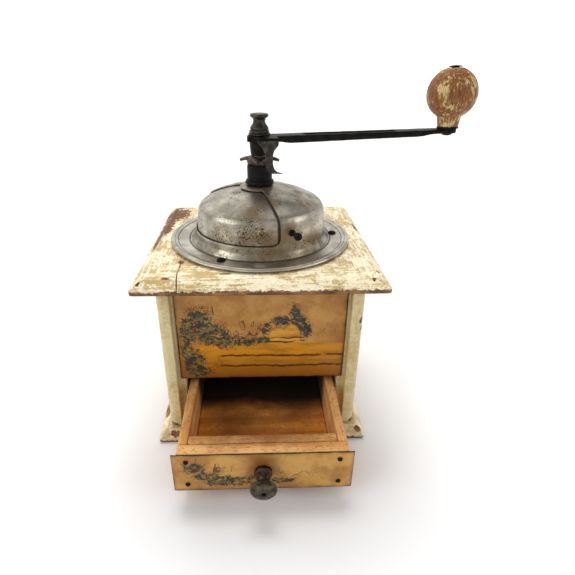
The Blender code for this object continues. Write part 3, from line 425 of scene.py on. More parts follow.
class Recipe:
    """One material's node tree, and the one way that nodes are added to it."""

    def __init__(self, name: str) -> None:
        """Start an empty material."""
        self.material = bpy.data.materials.new(name)
        self.material.use_nodes = True
        self.tree = self.material.node_tree
        self.tree.nodes.clear()
        self.place = self.add("TexCoord", output="Object")

    def add(self, kind: str, links: Mapping[str | int, Any] | None = None, output: str | int = 0,
            **settings: Any) -> Socket | None:
        """Add a node with its settings and links.

        Args:
            kind: The node's type after ShaderNode.
            links: Input name or number to a socket that feeds it or a plain value.
            output: Which output to hand back.
            settings: The node's own properties.

        Returns:
            The chosen output, or None for a node that has none.
        """
        item = self.tree.nodes.new("ShaderNode" + kind)
        for key, value in settings.items():
            setattr(item, key, value)
        live = [socket for socket in item.inputs if socket.enabled]
        for key, value in (links or {}).items():
            if isinstance(key, int) and key >= len(live):
                continue
            socket = live[key] if isinstance(key, int) else next(s for s in live if s.name == key)
            if isinstance(value, Socket):
                self.tree.links.new(value, socket)
            else:
                socket.default_value = value
        outs = [socket for socket in item.outputs if socket.enabled]
        if not outs:
            return None
        return outs[output] if isinstance(output, int) else next(s for s in outs if s.name == output)

    def between(self, value: Socket, low: float, high: float, to: Point = (0.0, 1.0)) -> Socket:
        """Smoothly map the span from low to high onto another span."""
        return self.add("MapRange", {"Value": value, "From Min": low, "From Max": high, "To Min": to[0],
                                     "To Max": to[1]}, interpolation_type='SMOOTHSTEP')

    def noise(self, size: float, stretch: tuple[float, ...] = (1.0, 1.0, 1.0), detail: float = 4.0,
              rough: float = 0.55, place: Socket | None = None, twist: float = 0.0) -> Socket:
        """Noise whose features are size millimetres across, on a stretched place."""
        where = self.add("VectorMath", {0: place or self.place, 1: stretch}, operation='MULTIPLY')
        return self.add("TexNoise", {"Vector": where, "Scale": per_metre(size), "Detail": detail,
                                     "Roughness": rough, "Distortion": twist})

    def blend(self, share: Socket | float, under: Any, over: Any, mode: str = 'MIX') -> Socket:
        """Lay one colour over another."""
        return self.add("Mix", {"Factor": share, "A": under, "B": over}, data_type='RGBA', blend_type=mode)

    def sum(self, *terms: tuple[Socket, float]) -> Socket:
        """Weighted sum of several values."""
        total: Any = 0.0
        for value, weight in terms:
            total = self.add("Math", {0: value, 1: weight, 2: total}, operation='MULTIPLY_ADD')
        return total

    def maths(self, operation: str, first: Any, second: Any = 0.0) -> Socket:
        """One arithmetic step, held between 0 and 1 only where asked."""
        return self.add("Math", {0: first, 1: second}, operation=operation)

    def spots(self, marks: Sequence["Mark"], ragged: float, size: float, soft: float = 0.05) -> Socket:
        """Cover the inside of several ragged marks.

        Args:
            marks: Ellipsoids, joined where they meet.
            ragged: How far their borders wander, as a share of their size.
            size: Size of the border's teeth in millimetres.
            soft: Half the width over which a mark fades, as a share of its size.

        Returns:
            One inside the marks and nought outside.
        """
        nearest: Any = 9.0
        for mark in marks:
            away = self.add("VectorMath", {0: self.place, 1: tuple(c * MM for c in mark.centre)},
                            operation='SUBTRACT')
            away = self.add("VectorMath", {0: away, 1: tuple(per_metre(c) for c in mark.reach)},
                            operation='MULTIPLY')
            length = self.add("VectorMath", {0: away}, operation='LENGTH', output="Value")
            nearest = self.maths('MINIMUM', nearest, length)
        teeth = self.noise(size, detail=6.0, rough=0.7)
        return self.between(self.sum((nearest, 1.0), (teeth, ragged)), 1.0 + soft + ragged / 2,
                            1.0 - soft + ragged / 2)

    def finish(self, colour: Any, roughness: Any, height: Socket, depth: float, **sockets: Any) -> None:
        """Close the material with a bump of this depth in millimetres and a principled shader."""
        normal = self.add("Bump", {"Height": height, "Distance": depth * MM, "Strength": 1.0})
        links = {"Base Color": colour, "Roughness": roughness, "Normal": normal}
        links.update({key.replace("_", " "): value for key, value in sockets.items()})
        shader = self.add("BsdfPrincipled", links)
        self.add("OutputMaterial", {"Surface": shader})


@dataclass(frozen=True)
class Mark:
    """An ellipsoid that bounds a chip or stain, in millimetres.

    Attributes:
        centre: Its middle.
        reach: Its half width along X, Y and Z.
    """

    centre: tuple[float, float, float]
    reach: tuple[float, float, float]


@dataclass(frozen=True)
class Finish:
    """What a surface is made of and how it was worked.

    Attributes:
        name: The material's name.
        slot: The frame's material slot that it belongs to; not used.
    """

    name: str
    slot: str

    def compose(self, recipe: Recipe) -> None:
        """Fill in the material's nodes."""
        raise NotImplementedError

    def material(self) -> bpy.types.Material:
        """The finish as a material, made once."""
        made = bpy.data.materials.get(self.name)
        if made is None:
            recipe = Recipe(self.name)
            self.compose(recipe)
            made = recipe.material
        return made


@dataclass(frozen=True)
class BrushedOilPaint(Finish):
    """Cream oil paint laid on wood with a hog bristle brush, yellowed and chipped.

    The bristles leave fine ridges about a millimetre apart that hold tan grime, and where the film
    has come away the wood shows. The film is a dielectric of IOR 1.48, half matt with age.

    Attributes:
        light: Clean paint.
        shade: Grime in the brush marks.
        strokes: The way the brush ran; None follows the four sides of a square board.
        streaks: How strongly the brush marks show, from 0 to 1.
        scuffs: How strongly small scuffs show, from 0 to 1.
        grime: Share of the surface that the grime covers, from 0 to 1.
        chips: Where the paint has come off.
        lip: Height in metres below which the upright edge is worn to dark wood, or None.
    """

    light: str = "F3E8C6"
    shade: str = "CDB27C"
    wood: str = "9C6B47"
    strokes: Axis | None = Axis.Z
    streaks: float = 1.0
    scuffs: float = 0.8
    grime: float = 0.5
    chips: tuple[Mark, ...] = ()
    lip: float | None = None

    def brush(self, recipe: Recipe, size: float, run: float) -> Socket:
        """Noise drawn out along the strokes."""
        if self.strokes is not None:
            return recipe.noise(size, self.strokes.along(run, 1.0), 4.0, 0.6)
        ways = [recipe.noise(size, axis.along(run, 1.0), 4.0, 0.6) for axis in (Axis.X, Axis.Y)]
        parts = [recipe.add("SeparateXYZ", {"Vector": recipe.place}, output=k) for k in (0, 1)]
        x, y = (recipe.maths('ABSOLUTE', part) for part in parts)
        wander = recipe.noise(9.0, detail=2.0)
        lean = recipe.sum((x, per_metre(9.0)), (y, -per_metre(9.0)), (wander, 3.0))
        side = recipe.between(lean, 1.2, 1.8)
        return recipe.add("Mix", {"Factor": side, "A": ways[0], "B": ways[1]}, data_type='FLOAT')

    def compose(self, recipe: Recipe) -> None:
        """Streaks and blotches of grime over cream, then bare wood in the chips."""
        streak = self.brush(recipe, 1.6, 0.09)
        bristle = self.brush(recipe, 0.7, 0.10)
        blotch = recipe.noise(15.0, detail=6.0, rough=0.62)
        swirl = recipe.noise(5.0, detail=4.0, rough=0.6, twist=1.6)
        fleck = recipe.noise(1.3, detail=4.0, rough=0.7)
        dirt_and_painted_shadow = recipe.sum((streak, 0.5 * self.streaks), (bristle, 0.3 * self.streaks), (blotch, 0.45),
                          (swirl, 0.3),
                          (fleck, 0.18))
        middle = 0.465 + 0.4 * self.streaks + 0.22 * (0.5 - self.grime)
        soiled = recipe.between(dirt_and_painted_shadow, middle - 0.05, middle + 0.06)
        base = recipe.blend(soiled, linear(self.light), linear(self.shade))
        swirl_lines = recipe.between(recipe.maths('ABSOLUTE', recipe.maths('SUBTRACT', swirl, 0.5)), 0.035,
                                     0.0)
        swirl_lines = recipe.maths('MULTIPLY', swirl_lines, recipe.between(fleck, 0.4, 0.6))
        base = recipe.blend(recipe.maths('MULTIPLY', swirl_lines, 0.45), base, linear("B08E58"))
        scuff = recipe.between(recipe.sum((fleck, 0.7), (blotch, 0.3)), 0.60, 0.66)
        base = recipe.blend(recipe.maths('MULTIPLY', scuff, self.scuffs), base, linear("8E6A45"))
        bare: Any = recipe.spots(self.chips, 2.6, 3.0) if self.chips else 0.0
        if self.lip is not None:
            height = recipe.add("SeparateXYZ", {"Vector": recipe.place}, output="Z")
            ragged = recipe.sum((height, per_metre(1.0)), (recipe.noise(2.2, detail=5.0, rough=0.65), 5.0))
            limit = self.lip / MM + 2.5
            worn = recipe.between(ragged, limit + 0.15, limit - 0.15)
            bare = recipe.maths('MAXIMUM', bare, worn)
        grain = recipe.noise(0.9, (0.06, 1.0, 0.3), 4.0)
        timber = recipe.blend(recipe.between(grain, 0.35, 0.65), linear(self.wood), linear("5E3C26"))
        dark = recipe.between(recipe.noise(6.0, detail=4.0), 0.42, 0.58)
        timber = recipe.blend(recipe.maths('MULTIPLY', dark, 0.6), timber, linear("4A3322"))
        colour = recipe.blend(bare, base, timber)
        rough = recipe.sum((streak, 0.25), (bare, 0.18), (blotch, 0.12))
        rough = recipe.maths('ADD', rough, 0.30)
        height = recipe.sum((streak, 0.5 * self.streaks), (bristle, 0.4 * self.streaks), (swirl, 0.35),
                            (soiled, -0.35), (scuff, -0.35), (bare, -1.6))
        recipe.finish(colour, rough, height, 0.16, IOR=1.48)


@dataclass(frozen=True)
class PlanedBeech(Finish):
    """Beech planed smooth and left bare, darkened by coffee and handling.

    Fine straight grain about a millimetre apart with short dark rays; the dry fibre is matt, so
    roughness is high and the IOR that of cellulose, 1.53.

    Attributes:
        pale: Lighter wood.
        deep: Darker wood.
        grain: The way the fibres run.
        stains: Darker places.
        scorch: Overall darkening from 0 to 1.
        painted_back_shade: How dark the painted shade towards the drawer's back is, from 0 to 1.
    """

    pale: str = "F0BA76"
    deep: str = "C98A46"
    grain: Axis = Axis.Y
    stains: tuple[Mark, ...] = ()
    scorch: float = 0.0
    painted_back_shade: float = 0.0

    def compose(self, recipe: Recipe) -> None:
        """Rings, fibres and rays."""
        ring = recipe.noise(6.0, self.grain.along(0.05, 1.0), 3.0, 0.5)
        fibre = recipe.noise(0.8, self.grain.along(0.05, 1.0), 4.0, 0.6)
        ray = recipe.noise(0.9, self.grain.along(0.34, 1.0), 2.0, 0.5)
        cloud = recipe.noise(20.0, detail=5.0)
        tone = recipe.sum((ring, 0.5), (fibre, 0.3), (cloud, 0.35))
        base = recipe.blend(recipe.between(tone, 0.44, 0.70), linear(self.pale), linear(self.deep))
        dashes = recipe.between(ray, 0.57, 0.66)
        base = recipe.blend(recipe.maths('MULTIPLY', dashes, 0.55), base, linear("7A4520"))
        if self.stains:
            dark = recipe.maths('MULTIPLY', recipe.spots(self.stains, 2.4, 9.0, 0.8), 0.6)
            base = recipe.blend(dark, base, linear("6B3C1B"))
        base = recipe.blend(self.scorch, base, linear("7B4A22"))
        # Painted shade: the wood turns nearly black towards the drawer's back, where the case shades the
        # inside.
        if self.painted_back_shade:
            behind = recipe.add("SeparateXYZ", {"Vector": recipe.place}, output="Y")
            behind = recipe.sum((behind, per_metre(1.0)), (cloud, 14.0))
            base = recipe.blend(recipe.between(behind, -47.0, -30.0, (0.0, self.painted_back_shade)), base,
                                linear("0A0603"))
        rough = recipe.between(recipe.sum((fibre, 0.6), (cloud, 0.4)), 0.3, 0.7, (0.55, 0.78))
        height = recipe.sum((fibre, 0.6), (ring, 0.3), (dashes, -0.5))
        recipe.finish(base, rough, height, 0.08, IOR=1.53)


@dataclass(frozen=True)
class WornMetal(Finish):
    """A metal aged in a kitchen: a base tone, clouds of tarnish, pits and tool marks.

    The base is a full metal with the default IOR; tarnish and rust are duller and less metallic.

    Attributes:
        base: The metal itself.
        bright: The metal where it is rubbed.
        stain: Tarnish or rust.
        stained: Share of the surface under tarnish, from 0 to 1.
        cloud: Size of the tarnish clouds in millimetres.
        rough: Roughness of the rubbed and of the dull metal.
        grit: Size and height in millimetres of the surface's grain.
        pits: Size in millimetres of corrosion pits and the share of the metal they take.
        lathe: Depth of turning marks, as a share of the bump.
        axis: Axis of turning.
        centre: A point on that axis, in metres.
        metallic: How metallic the clean surface is.
        gloss: Specular level of the oxide, which soot and oil lower.
        marks: Where tarnish is certain.
        creases: Dark rings, as radius and half width in millimetres.
    """

    base: str = "8C887C"
    bright: str = "B9B6AC"
    stain: str = "8A7A50"
    stained: float = 0.3
    cloud: float = 16.0
    rough: Point = (0.30, 0.50)
    grit: Point = (0.5, 0.03)
    pits: Point = (0.7, 0.1)
    lathe: float = 0.3
    axis: Axis = Axis.Z
    centre: tuple[float, float, float] = (0.0, 0.0, 0.0)
    metallic: float = 1.0
    gloss: float = 0.5
    # marks: Where the metal is darkened as tarnish; on the dome and door these are partly a painted dark
    # reflection on the front.
    marks: tuple[Mark, ...] = ()
    creases: tuple[Point, ...] = ()

    def dark_lines_and_painted_shadow(self, recipe: Recipe) -> Socket | None:
        """Dark rings round the Z axis, or None where there are none."""
        flat = recipe.add("VectorMath", {0: recipe.place, 1: (1.0, 1.0, 0.0)}, operation='MULTIPLY')
        radius = recipe.add("VectorMath", {0: flat}, operation='LENGTH', output="Value")
        radius = recipe.sum((radius, per_metre(1.0)), (recipe.noise(4.0), 0.3))
        dirt_and_painted_shadow = None
        for middle, width in self.creases:
            gap = recipe.maths('ABSOLUTE', recipe.maths('SUBTRACT', radius, middle + 0.15))
            ring = recipe.between(gap, width, width * 0.35)
            dirt_and_painted_shadow = ring if dirt_and_painted_shadow is None else recipe.maths('MAXIMUM', dirt_and_painted_shadow, ring)
        return dirt_and_painted_shadow

    def turning(self, recipe: Recipe) -> Socket:
        """Fine rings round the axis of turning, half a millimetre apart."""
        off = recipe.add("VectorMath", {0: recipe.place, 1: self.centre}, operation='SUBTRACT')
        across = recipe.add("VectorMath", {0: off, 1: self.axis.along(0.0, 1.0)}, operation='MULTIPLY')
        radius = recipe.add("VectorMath", {0: across}, operation='LENGTH', output="Value")
        along = recipe.add("VectorMath", {0: off, 1: self.axis.value}, operation='DOT_PRODUCT',
                           output="Value")
        rings = recipe.add("CombineXYZ", {"X": radius, "Y": along})
        return recipe.noise(0.5, detail=3.0, rough=0.6, place=rings)

    def compose(self, recipe: Recipe) -> None:
        """Lay tarnish and pits over the metal."""
        cloud = recipe.noise(self.cloud, detail=6.0, rough=0.62)
        rub = recipe.noise(self.cloud * 0.6, detail=4.0)
        grit = recipe.noise(self.grit[0], detail=3.0, rough=0.6)
        rings = self.turning(recipe)
        edge = 0.70 - 0.36 * self.stained
        tarnish = recipe.between(recipe.sum((cloud, 0.85), (grit, 0.15)), edge - 0.05, edge + 0.12)
        # The marks add tarnish; on the dome and door they are partly a painted dark reflection on the front
        # of the wall and on the crown.
        if self.marks:
            tarnish = recipe.maths('MAXIMUM', tarnish, recipe.maths('MULTIPLY', recipe.spots(
                self.marks, 2.4, 7.0, 0.7), 0.95))
        shine = recipe.between(recipe.sum((rub, 0.8), (rings, 0.3)), 0.45, 0.70)
        colour = recipe.blend(shine, linear(self.base), linear(self.bright))
        colour = recipe.blend(recipe.maths('MULTIPLY', tarnish, 0.85), colour, linear(self.stain))
        speck = recipe.noise(self.pits[0], detail=1.0)
        crowd = recipe.noise(self.cloud * 0.8, detail=2.0, place=recipe.add(
            "VectorMath", {0: recipe.place, 1: (0.13, 0.07, 0.0)}, operation='ADD'))
        limit = 0.92 - 0.42 * self.pits[1]
        pits_and_painted_shadow = recipe.between(recipe.sum((speck, 0.7), (crowd, 0.45)), limit - 0.06, limit + 0.02)
        dirt_and_painted_shadow = self.dark_lines_and_painted_shadow(recipe)
        if dirt_and_painted_shadow is not None:
            pits_and_painted_shadow = recipe.maths('MAXIMUM', pits_and_painted_shadow, dirt_and_painted_shadow)
        # Pits and dark rings, and on the door a painted shadow along the window's edge, darken the colour
        # here.
        colour = recipe.blend(recipe.maths('MULTIPLY', pits_and_painted_shadow, 0.85), colour, linear("1C1712"))
        dull = recipe.sum((tarnish, 0.5), (pits_and_painted_shadow, 0.4), (grit, 0.35), (rub, -0.2))
        rough = recipe.between(dull, 0.0, 0.8, self.rough)
        metallic = recipe.between(recipe.maths('MAXIMUM', tarnish, pits_and_painted_shadow), 0.0, 1.6,
                                  (self.metallic, self.metallic * 0.35))
        height = recipe.sum((grit, self.grit[1] / 0.1), (rings, self.lathe), (pits_and_painted_shadow, -0.9), (tarnish, 0.1))
        recipe.finish(colour, rough, height, 0.1, Metallic=metallic, Specular_IOR_Level=self.gloss)


@dataclass(frozen=True)
class DoorMetal(WornMetal):
    """The door's plate, with a painted shadow along the window's straight edge and sill, where the shell's
    edge shades it.

    Attributes:
        edge_turn: Direction along the window's front edge, in degrees.
        edge_offset: How far that edge runs beside the axis, in millimetres.
        sill: Height of the window's sill, in millimetres.
        corner: Radius of the window's corner, in millimetres.
    """

    edge_turn: float = -69.6
    edge_offset: float = 2.76
    sill: float = 121.9
    corner: float = 5.0

    def dark_lines_and_painted_shadow(self, recipe: Recipe) -> Socket | None:
        """A painted shadow: a dark line about a millimetre wide beside the edge and above the sill, where the
        shell's edge shades the door.
        """
        turn = math.radians(self.edge_turn + 90.0)
        normal = (math.cos(turn), math.sin(turn), 0.0)
        beside = recipe.add("VectorMath", {0: recipe.place, 1: normal}, operation='DOT_PRODUCT',
                            output="Value")
        beside = recipe.sum((beside, per_metre(1.0)))
        beside = recipe.maths('ADD', beside, self.edge_offset)
        height = recipe.add("SeparateXYZ", {"Vector": recipe.place}, output="Z")
        below = recipe.sum((height, -per_metre(1.0)))
        below = recipe.maths('ADD', recipe.maths('MULTIPLY', recipe.maths('ADD', below, self.sill), 2.4), 0.4)
        ends = [recipe.maths('MAXIMUM', recipe.maths('ADD', way, self.corner), 0.0) for way in (beside,
                                                                                                below)]
        rounding = recipe.maths('SQRT', recipe.maths('ADD',
                                                     *(recipe.maths('POWER', end, 2.0) for end in ends)))
        away = recipe.maths('SUBTRACT', rounding, self.corner)
        away = recipe.sum((away, 1.0), (recipe.noise(4.0), 0.35))
        return recipe.between(away, -1.25, -0.85)


@dataclass(frozen=True)
class RubbedKnobPaint(Finish):
    """Cream enamel on a turned beech ball, rubbed through to orange-brown in upright streaks.

    Hands wear the film along the grain, so wood and paint alternate a millimetre or two apart.

    Attributes:
        film: Old cream enamel.
        wood: Wood darkened by hands.
    """

    film: str = "CCB074"
    wood: str = "97591B"

    def compose(self, recipe: Recipe) -> None:
        """Streaks along the ball's axis."""
        streak = recipe.noise(1.2, (1.0, 1.0, 0.2), 5.0, 0.66)
        cloud = recipe.noise(11.0, detail=4.0)
        thread = recipe.noise(0.6, (1.0, 1.0, 0.1), 3.0)
        mixed = recipe.sum((streak, 0.75), (cloud, 0.4), (thread, 0.15))
        bare = recipe.between(mixed, 0.575, 0.63)
        film = recipe.blend(recipe.between(cloud, 0.35, 0.65), linear(self.film), linear("9C7F48"))
        timber = recipe.blend(recipe.between(thread, 0.35, 0.65), linear(self.wood), linear("5E3414"))
        colour = recipe.blend(bare, film, timber)
        rough = recipe.between(mixed, 0.4, 0.8, (0.36, 0.62))
        height = recipe.sum((bare, -0.8), (thread, 0.3))
        recipe.finish(colour, rough, height, 0.12, IOR=1.5)


@dataclass(frozen=True)
class PrintedTin(Finish):
    """Tinplate printed with a plain country scene and lacquered, browned by age.

    The lacquer is a dielectric of IOR 1.5 with a low sheen; rust and scuffs dull it. The scene is
    laid out in units of the plate's height, from the middle of its lower edge.

    Attributes:
        foot: Middle of the plate's lower edge, in metres.
        tall: The plate's height.
        wide: The plate's width.
        horizon: Height of the field's far edge.
        bushes: Ellipses of foliage as (across, up, half width, half height).
        trees: Darker foliage behind the stack.
        stack: Rounded tops of the haystack.
        furrows: Heights of the dark lines across the field.
        sketches: Ellipses filled with loose pen lines.
        stain: Brown stain as (across, up, radius), or None.
    """

    foot: tuple[float, float, float] = (0.0, 0.0, 0.0)
    tall: float = 0.067
    wide: float = 0.1
    horizon: float = 0.375
    bushes: tuple[tuple[float, float, float, float], ...] = ()
    trees: tuple[tuple[float, float, float, float], ...] = ()
    stack: tuple[tuple[float, float, float, float], ...] = ()
    furrows: tuple[float, ...] = ()
    sketches: tuple[tuple[float, float, float, float], ...] = ()
    stain: tuple[float, float, float] | None = None
    sky: str = "C69448"
    field: str = "D58E0A"

    def away(self, recipe: Recipe, page: Socket, blobs: Sequence[tuple[float, ...]]) -> Socket:
        """Distance to a group of ellipses on the page, one on their borders."""
        nearest: Any = 9.0
        for across, up, half, high in blobs:
            off = recipe.add("VectorMath", {0: page, 1: (across, 0.0, up)}, operation='SUBTRACT')
            off = recipe.add("VectorMath", {0: off, 1: (1 / half, 0.0, 1 / high)}, operation='MULTIPLY')
            length = recipe.add("VectorMath", {0: off}, operation='LENGTH', output="Value")
            nearest = recipe.maths('MINIMUM', nearest, length)
        return nearest

    def stroke(self, recipe: Recipe, across: Socket, line: Socket | float, width: float) -> Socket:
        """A dark line where across is near line."""
        gap = recipe.maths('ABSOLUTE', recipe.maths('SUBTRACT', across, line))
        return recipe.between(gap, width, width * 0.35)

    def foliage(self, recipe: Recipe, page: Socket, colour: Socket, blobs: Sequence[tuple[float, ...]],
                tones: Sequence[str]) -> Socket:
        """Lay leaves over a colour: a ragged mass, dark and light dabs, and a pen line round it.

        Args:
            recipe: The material's nodes.
            page: Place on the sheet.
            colour: What lies below.
            blobs: Ellipses that bound the leaves.
            tones: Middle, dark and light leaf colours.

        Returns:
            The colour with the leaves on it.
        """
        away = self.away(recipe, page, blobs)
        teeth = recipe.noise(2.6, detail=4.0, rough=0.7)
        crown_field = recipe.sum((away, 1.0), (teeth, 1.9))
        mass = recipe.between(crown_field, 2.02, 1.88)
        dabs = recipe.noise(2.3, (0.8, 1.0, 1.2), 3.0, 0.55, twist=0.9)
        tone = recipe.blend(recipe.between(teeth, 0.42, 0.58), linear(tones[0]), linear(tones[2]))
        tone = recipe.blend(recipe.between(dabs, 0.46, 0.53), tone, linear(tones[1]))
        glint = recipe.between(recipe.noise(2.4, (0.7, 1.0, 1.4), 3.0, 0.6, twist=0.8), 0.55, 0.59)
        mass = recipe.maths('MULTIPLY', mass, recipe.maths('SUBTRACT', 1.0,
                                                           recipe.maths('MULTIPLY', glint, 0.85)))
        colour = recipe.blend(recipe.maths('MULTIPLY', mass, 0.92), colour, tone)
        curl = recipe.noise(3.4, detail=2.0, rough=0.5, twist=1.5)
        pen = self.stroke(recipe, curl, 0.5, 0.034)
        near = recipe.between(crown_field, 2.45, 2.2)
        return recipe.blend(recipe.maths('MULTIPLY', recipe.maths('MULTIPLY', pen, near), 0.85), colour,
                            linear("15120D"))

    def compose(self, recipe: Recipe) -> None:
        """Sky, field, stack and foliage, then age."""
        page = recipe.add("VectorMath", {0: recipe.place, 1: self.foot}, operation='SUBTRACT')
        page = recipe.add("VectorMath", {0: page, "Scale": 1.0 / self.tall}, operation='SCALE')
        u, v = (recipe.add("SeparateXYZ", {"Vector": page}, output=k) for k in ("X", "Z"))
        wander = recipe.noise(7.0, (1.0, 1.0, 1.0), 4.0)
        cloud = recipe.noise(16.0, detail=6.0, rough=0.62)
        wash = recipe.noise(3.0, (0.16, 1.0, 1.0), 5.0, 0.6)
        colour = recipe.blend(recipe.between(cloud, 0.38, 0.62), linear(self.sky), linear("A8742F"))
        rosy = recipe.between(recipe.noise(24.0, (0.6, 1.0, 2.0), 4.0), 0.5, 0.64)
        colour = recipe.blend(recipe.maths('MULTIPLY', rosy, 0.35), colour, linear("A5673A"))
        level = recipe.sum((v, 1.0), (wander, 0.05))
        ground = recipe.between(level, self.horizon + 0.04, self.horizon + 0.01)
        deep = recipe.blend(recipe.between(level, self.horizon, 0.0), linear(self.field), linear("98590A"))
        deep = recipe.blend(recipe.maths('MULTIPLY', recipe.between(wash, 0.44, 0.62), 0.6), deep,
                            linear("9A620C"))
        colour = recipe.blend(ground, colour, deep)
        if self.trees:
            colour = self.foliage(recipe, page, colour, self.trees, ("22343A", "0E181C", "34463F"))
        if self.stack:
            away = self.away(recipe, page, self.stack)
            base = recipe.between(v, self.horizon + 0.012, self.horizon + 0.022)
            heap = recipe.maths('MULTIPLY', recipe.between(away, 1.03, 0.97), base)
            straw = recipe.blend(recipe.between(wash, 0.4, 0.6), linear("DCA030"), linear("B77C18"))
            colour = recipe.blend(heap, colour, straw)
            rim = recipe.maths('MULTIPLY', self.stroke(recipe, away, 1.0, 0.09), base)
            colour = recipe.blend(recipe.maths('MULTIPLY', rim, 0.5), colour, linear("6B4315"))
            middle = recipe.maths('SUBTRACT', u, (self.stack[0][0] + self.stack[1][0]) / 2)
            span = recipe.between(recipe.maths('ABSOLUTE', middle), 0.2, 0.16)
            for rise in (0.045, 0.085):
                line = self.stroke(recipe, level, self.horizon + rise, 0.011)
                line = recipe.maths('MULTIPLY', line,
                                    recipe.maths('MULTIPLY', span, recipe.between(wash, 0.36, 0.44)))
                colour = recipe.blend(line, colour, linear("4A2410"))
        for number, height in enumerate(self.furrows):
            line = self.stroke(recipe, level, height + 0.025, 0.015)
            broken = recipe.between(recipe.noise(5.0, (0.6, 1.0, 1.0), 6.0, 0.7), 0.30, 0.44)
            line = recipe.maths('MULTIPLY', line, recipe.maths('MULTIPLY', broken, recipe.between(
                u, -0.40 - 0.04 * number, -0.34)))
            colour = recipe.blend(recipe.maths('MULTIPLY', line, 0.9), colour, linear("3F1607"))
        sketch = recipe.between(self.away(recipe, page, self.sketches), 1.05, 0.85)
        pen = self.stroke(recipe, recipe.noise(6.0, (1.0, 1.0, 0.5), 1.0, 0.4, twist=1.0), 0.5, 0.02)
        colour = recipe.blend(recipe.maths('MULTIPLY', recipe.maths('MULTIPLY', pen, sketch), 0.85), colour,
                              linear("4A1E0C"))
        colour = self.foliage(recipe, page, colour, self.bushes, ("3C4628", "0F1814", "7A7434"))
        if self.stain:
            spot = recipe.add("VectorMath", {0: page, 1: (self.stain[0], 0.0, self.stain[1])},
                              operation='SUBTRACT')
            spot = recipe.add("VectorMath", {0: spot, 1: (1.0, 0.0, 0.8)}, operation='MULTIPLY')
            reach = recipe.add("VectorMath", {0: spot}, operation='LENGTH', output="Value")
            soft = recipe.between(recipe.sum((reach, 1.0), (wander, 0.2)), self.stain[2] + 0.12, 0.08)
            colour = recipe.blend(recipe.maths('MULTIPLY', soft, 0.7), colour, linear("7C4E0E"))
        # Darker within a few millimetres of the sheet's edges, with a dark line along the very edge.
        side = recipe.maths('SUBTRACT', self.wide / self.tall / 2, recipe.maths('ABSOLUTE', u))
        rim = recipe.maths('MINIMUM', side, recipe.maths('MINIMUM', v, recipe.maths('SUBTRACT', 1.0, v)))
        rim = recipe.maths('MULTIPLY', rim, self.tall / MM)
        darker_near_edges = recipe.between(recipe.sum((rim, 1.0), (wander, 4.0)), 4.6, 1.4)
        colour = recipe.blend(recipe.maths('MULTIPLY', darker_near_edges, 0.55), colour, linear("5F3517"))
        edge = recipe.between(recipe.sum((rim, 1.0), (wander, 1.2)), 1.3, 0.85)
        colour = recipe.blend(edge, colour, linear("20100A"))
        speck = recipe.between(recipe.noise(0.8, detail=2.0), 0.67, 0.71)
        colour = recipe.blend(recipe.maths('MULTIPLY', speck, 0.7), colour, linear("3A1E10"))
        rough = recipe.between(recipe.sum((cloud, 0.5), (wander, 0.5)), 0.35, 0.65, (0.40, 0.56))
        height = recipe.sum((wander, 0.3), (speck, -0.5), (recipe.noise(0.5), 0.15))
        recipe.finish(colour, rough, height, 0.08, IOR=1.45)


def dress(piece: Object, finish: Finish, *nodes: str) -> Object:
    """Give a piece its finish and put it in its nodes' place.

    Args:
        piece: The finished mesh.
        finish: Its surface.
        nodes: The CAD nodes it stands for; it rides on the first one's body.

    Returns:
        The piece.
    """
    piece.data.materials.clear()
    piece.data.materials.append(finish.material())
    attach(piece, BODY_OF[nodes[0]])
    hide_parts(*nodes)
    LOG.info("%s: %d faces on %s", piece.name, len(piece.data.polygons), BODY_OF[nodes[0]])
    return piece


def fine(node: str) -> str:
    """Name of the finished piece that stands for a node."""
    return node + "_finished"


# ---------------------------------------------------------------- wooden case

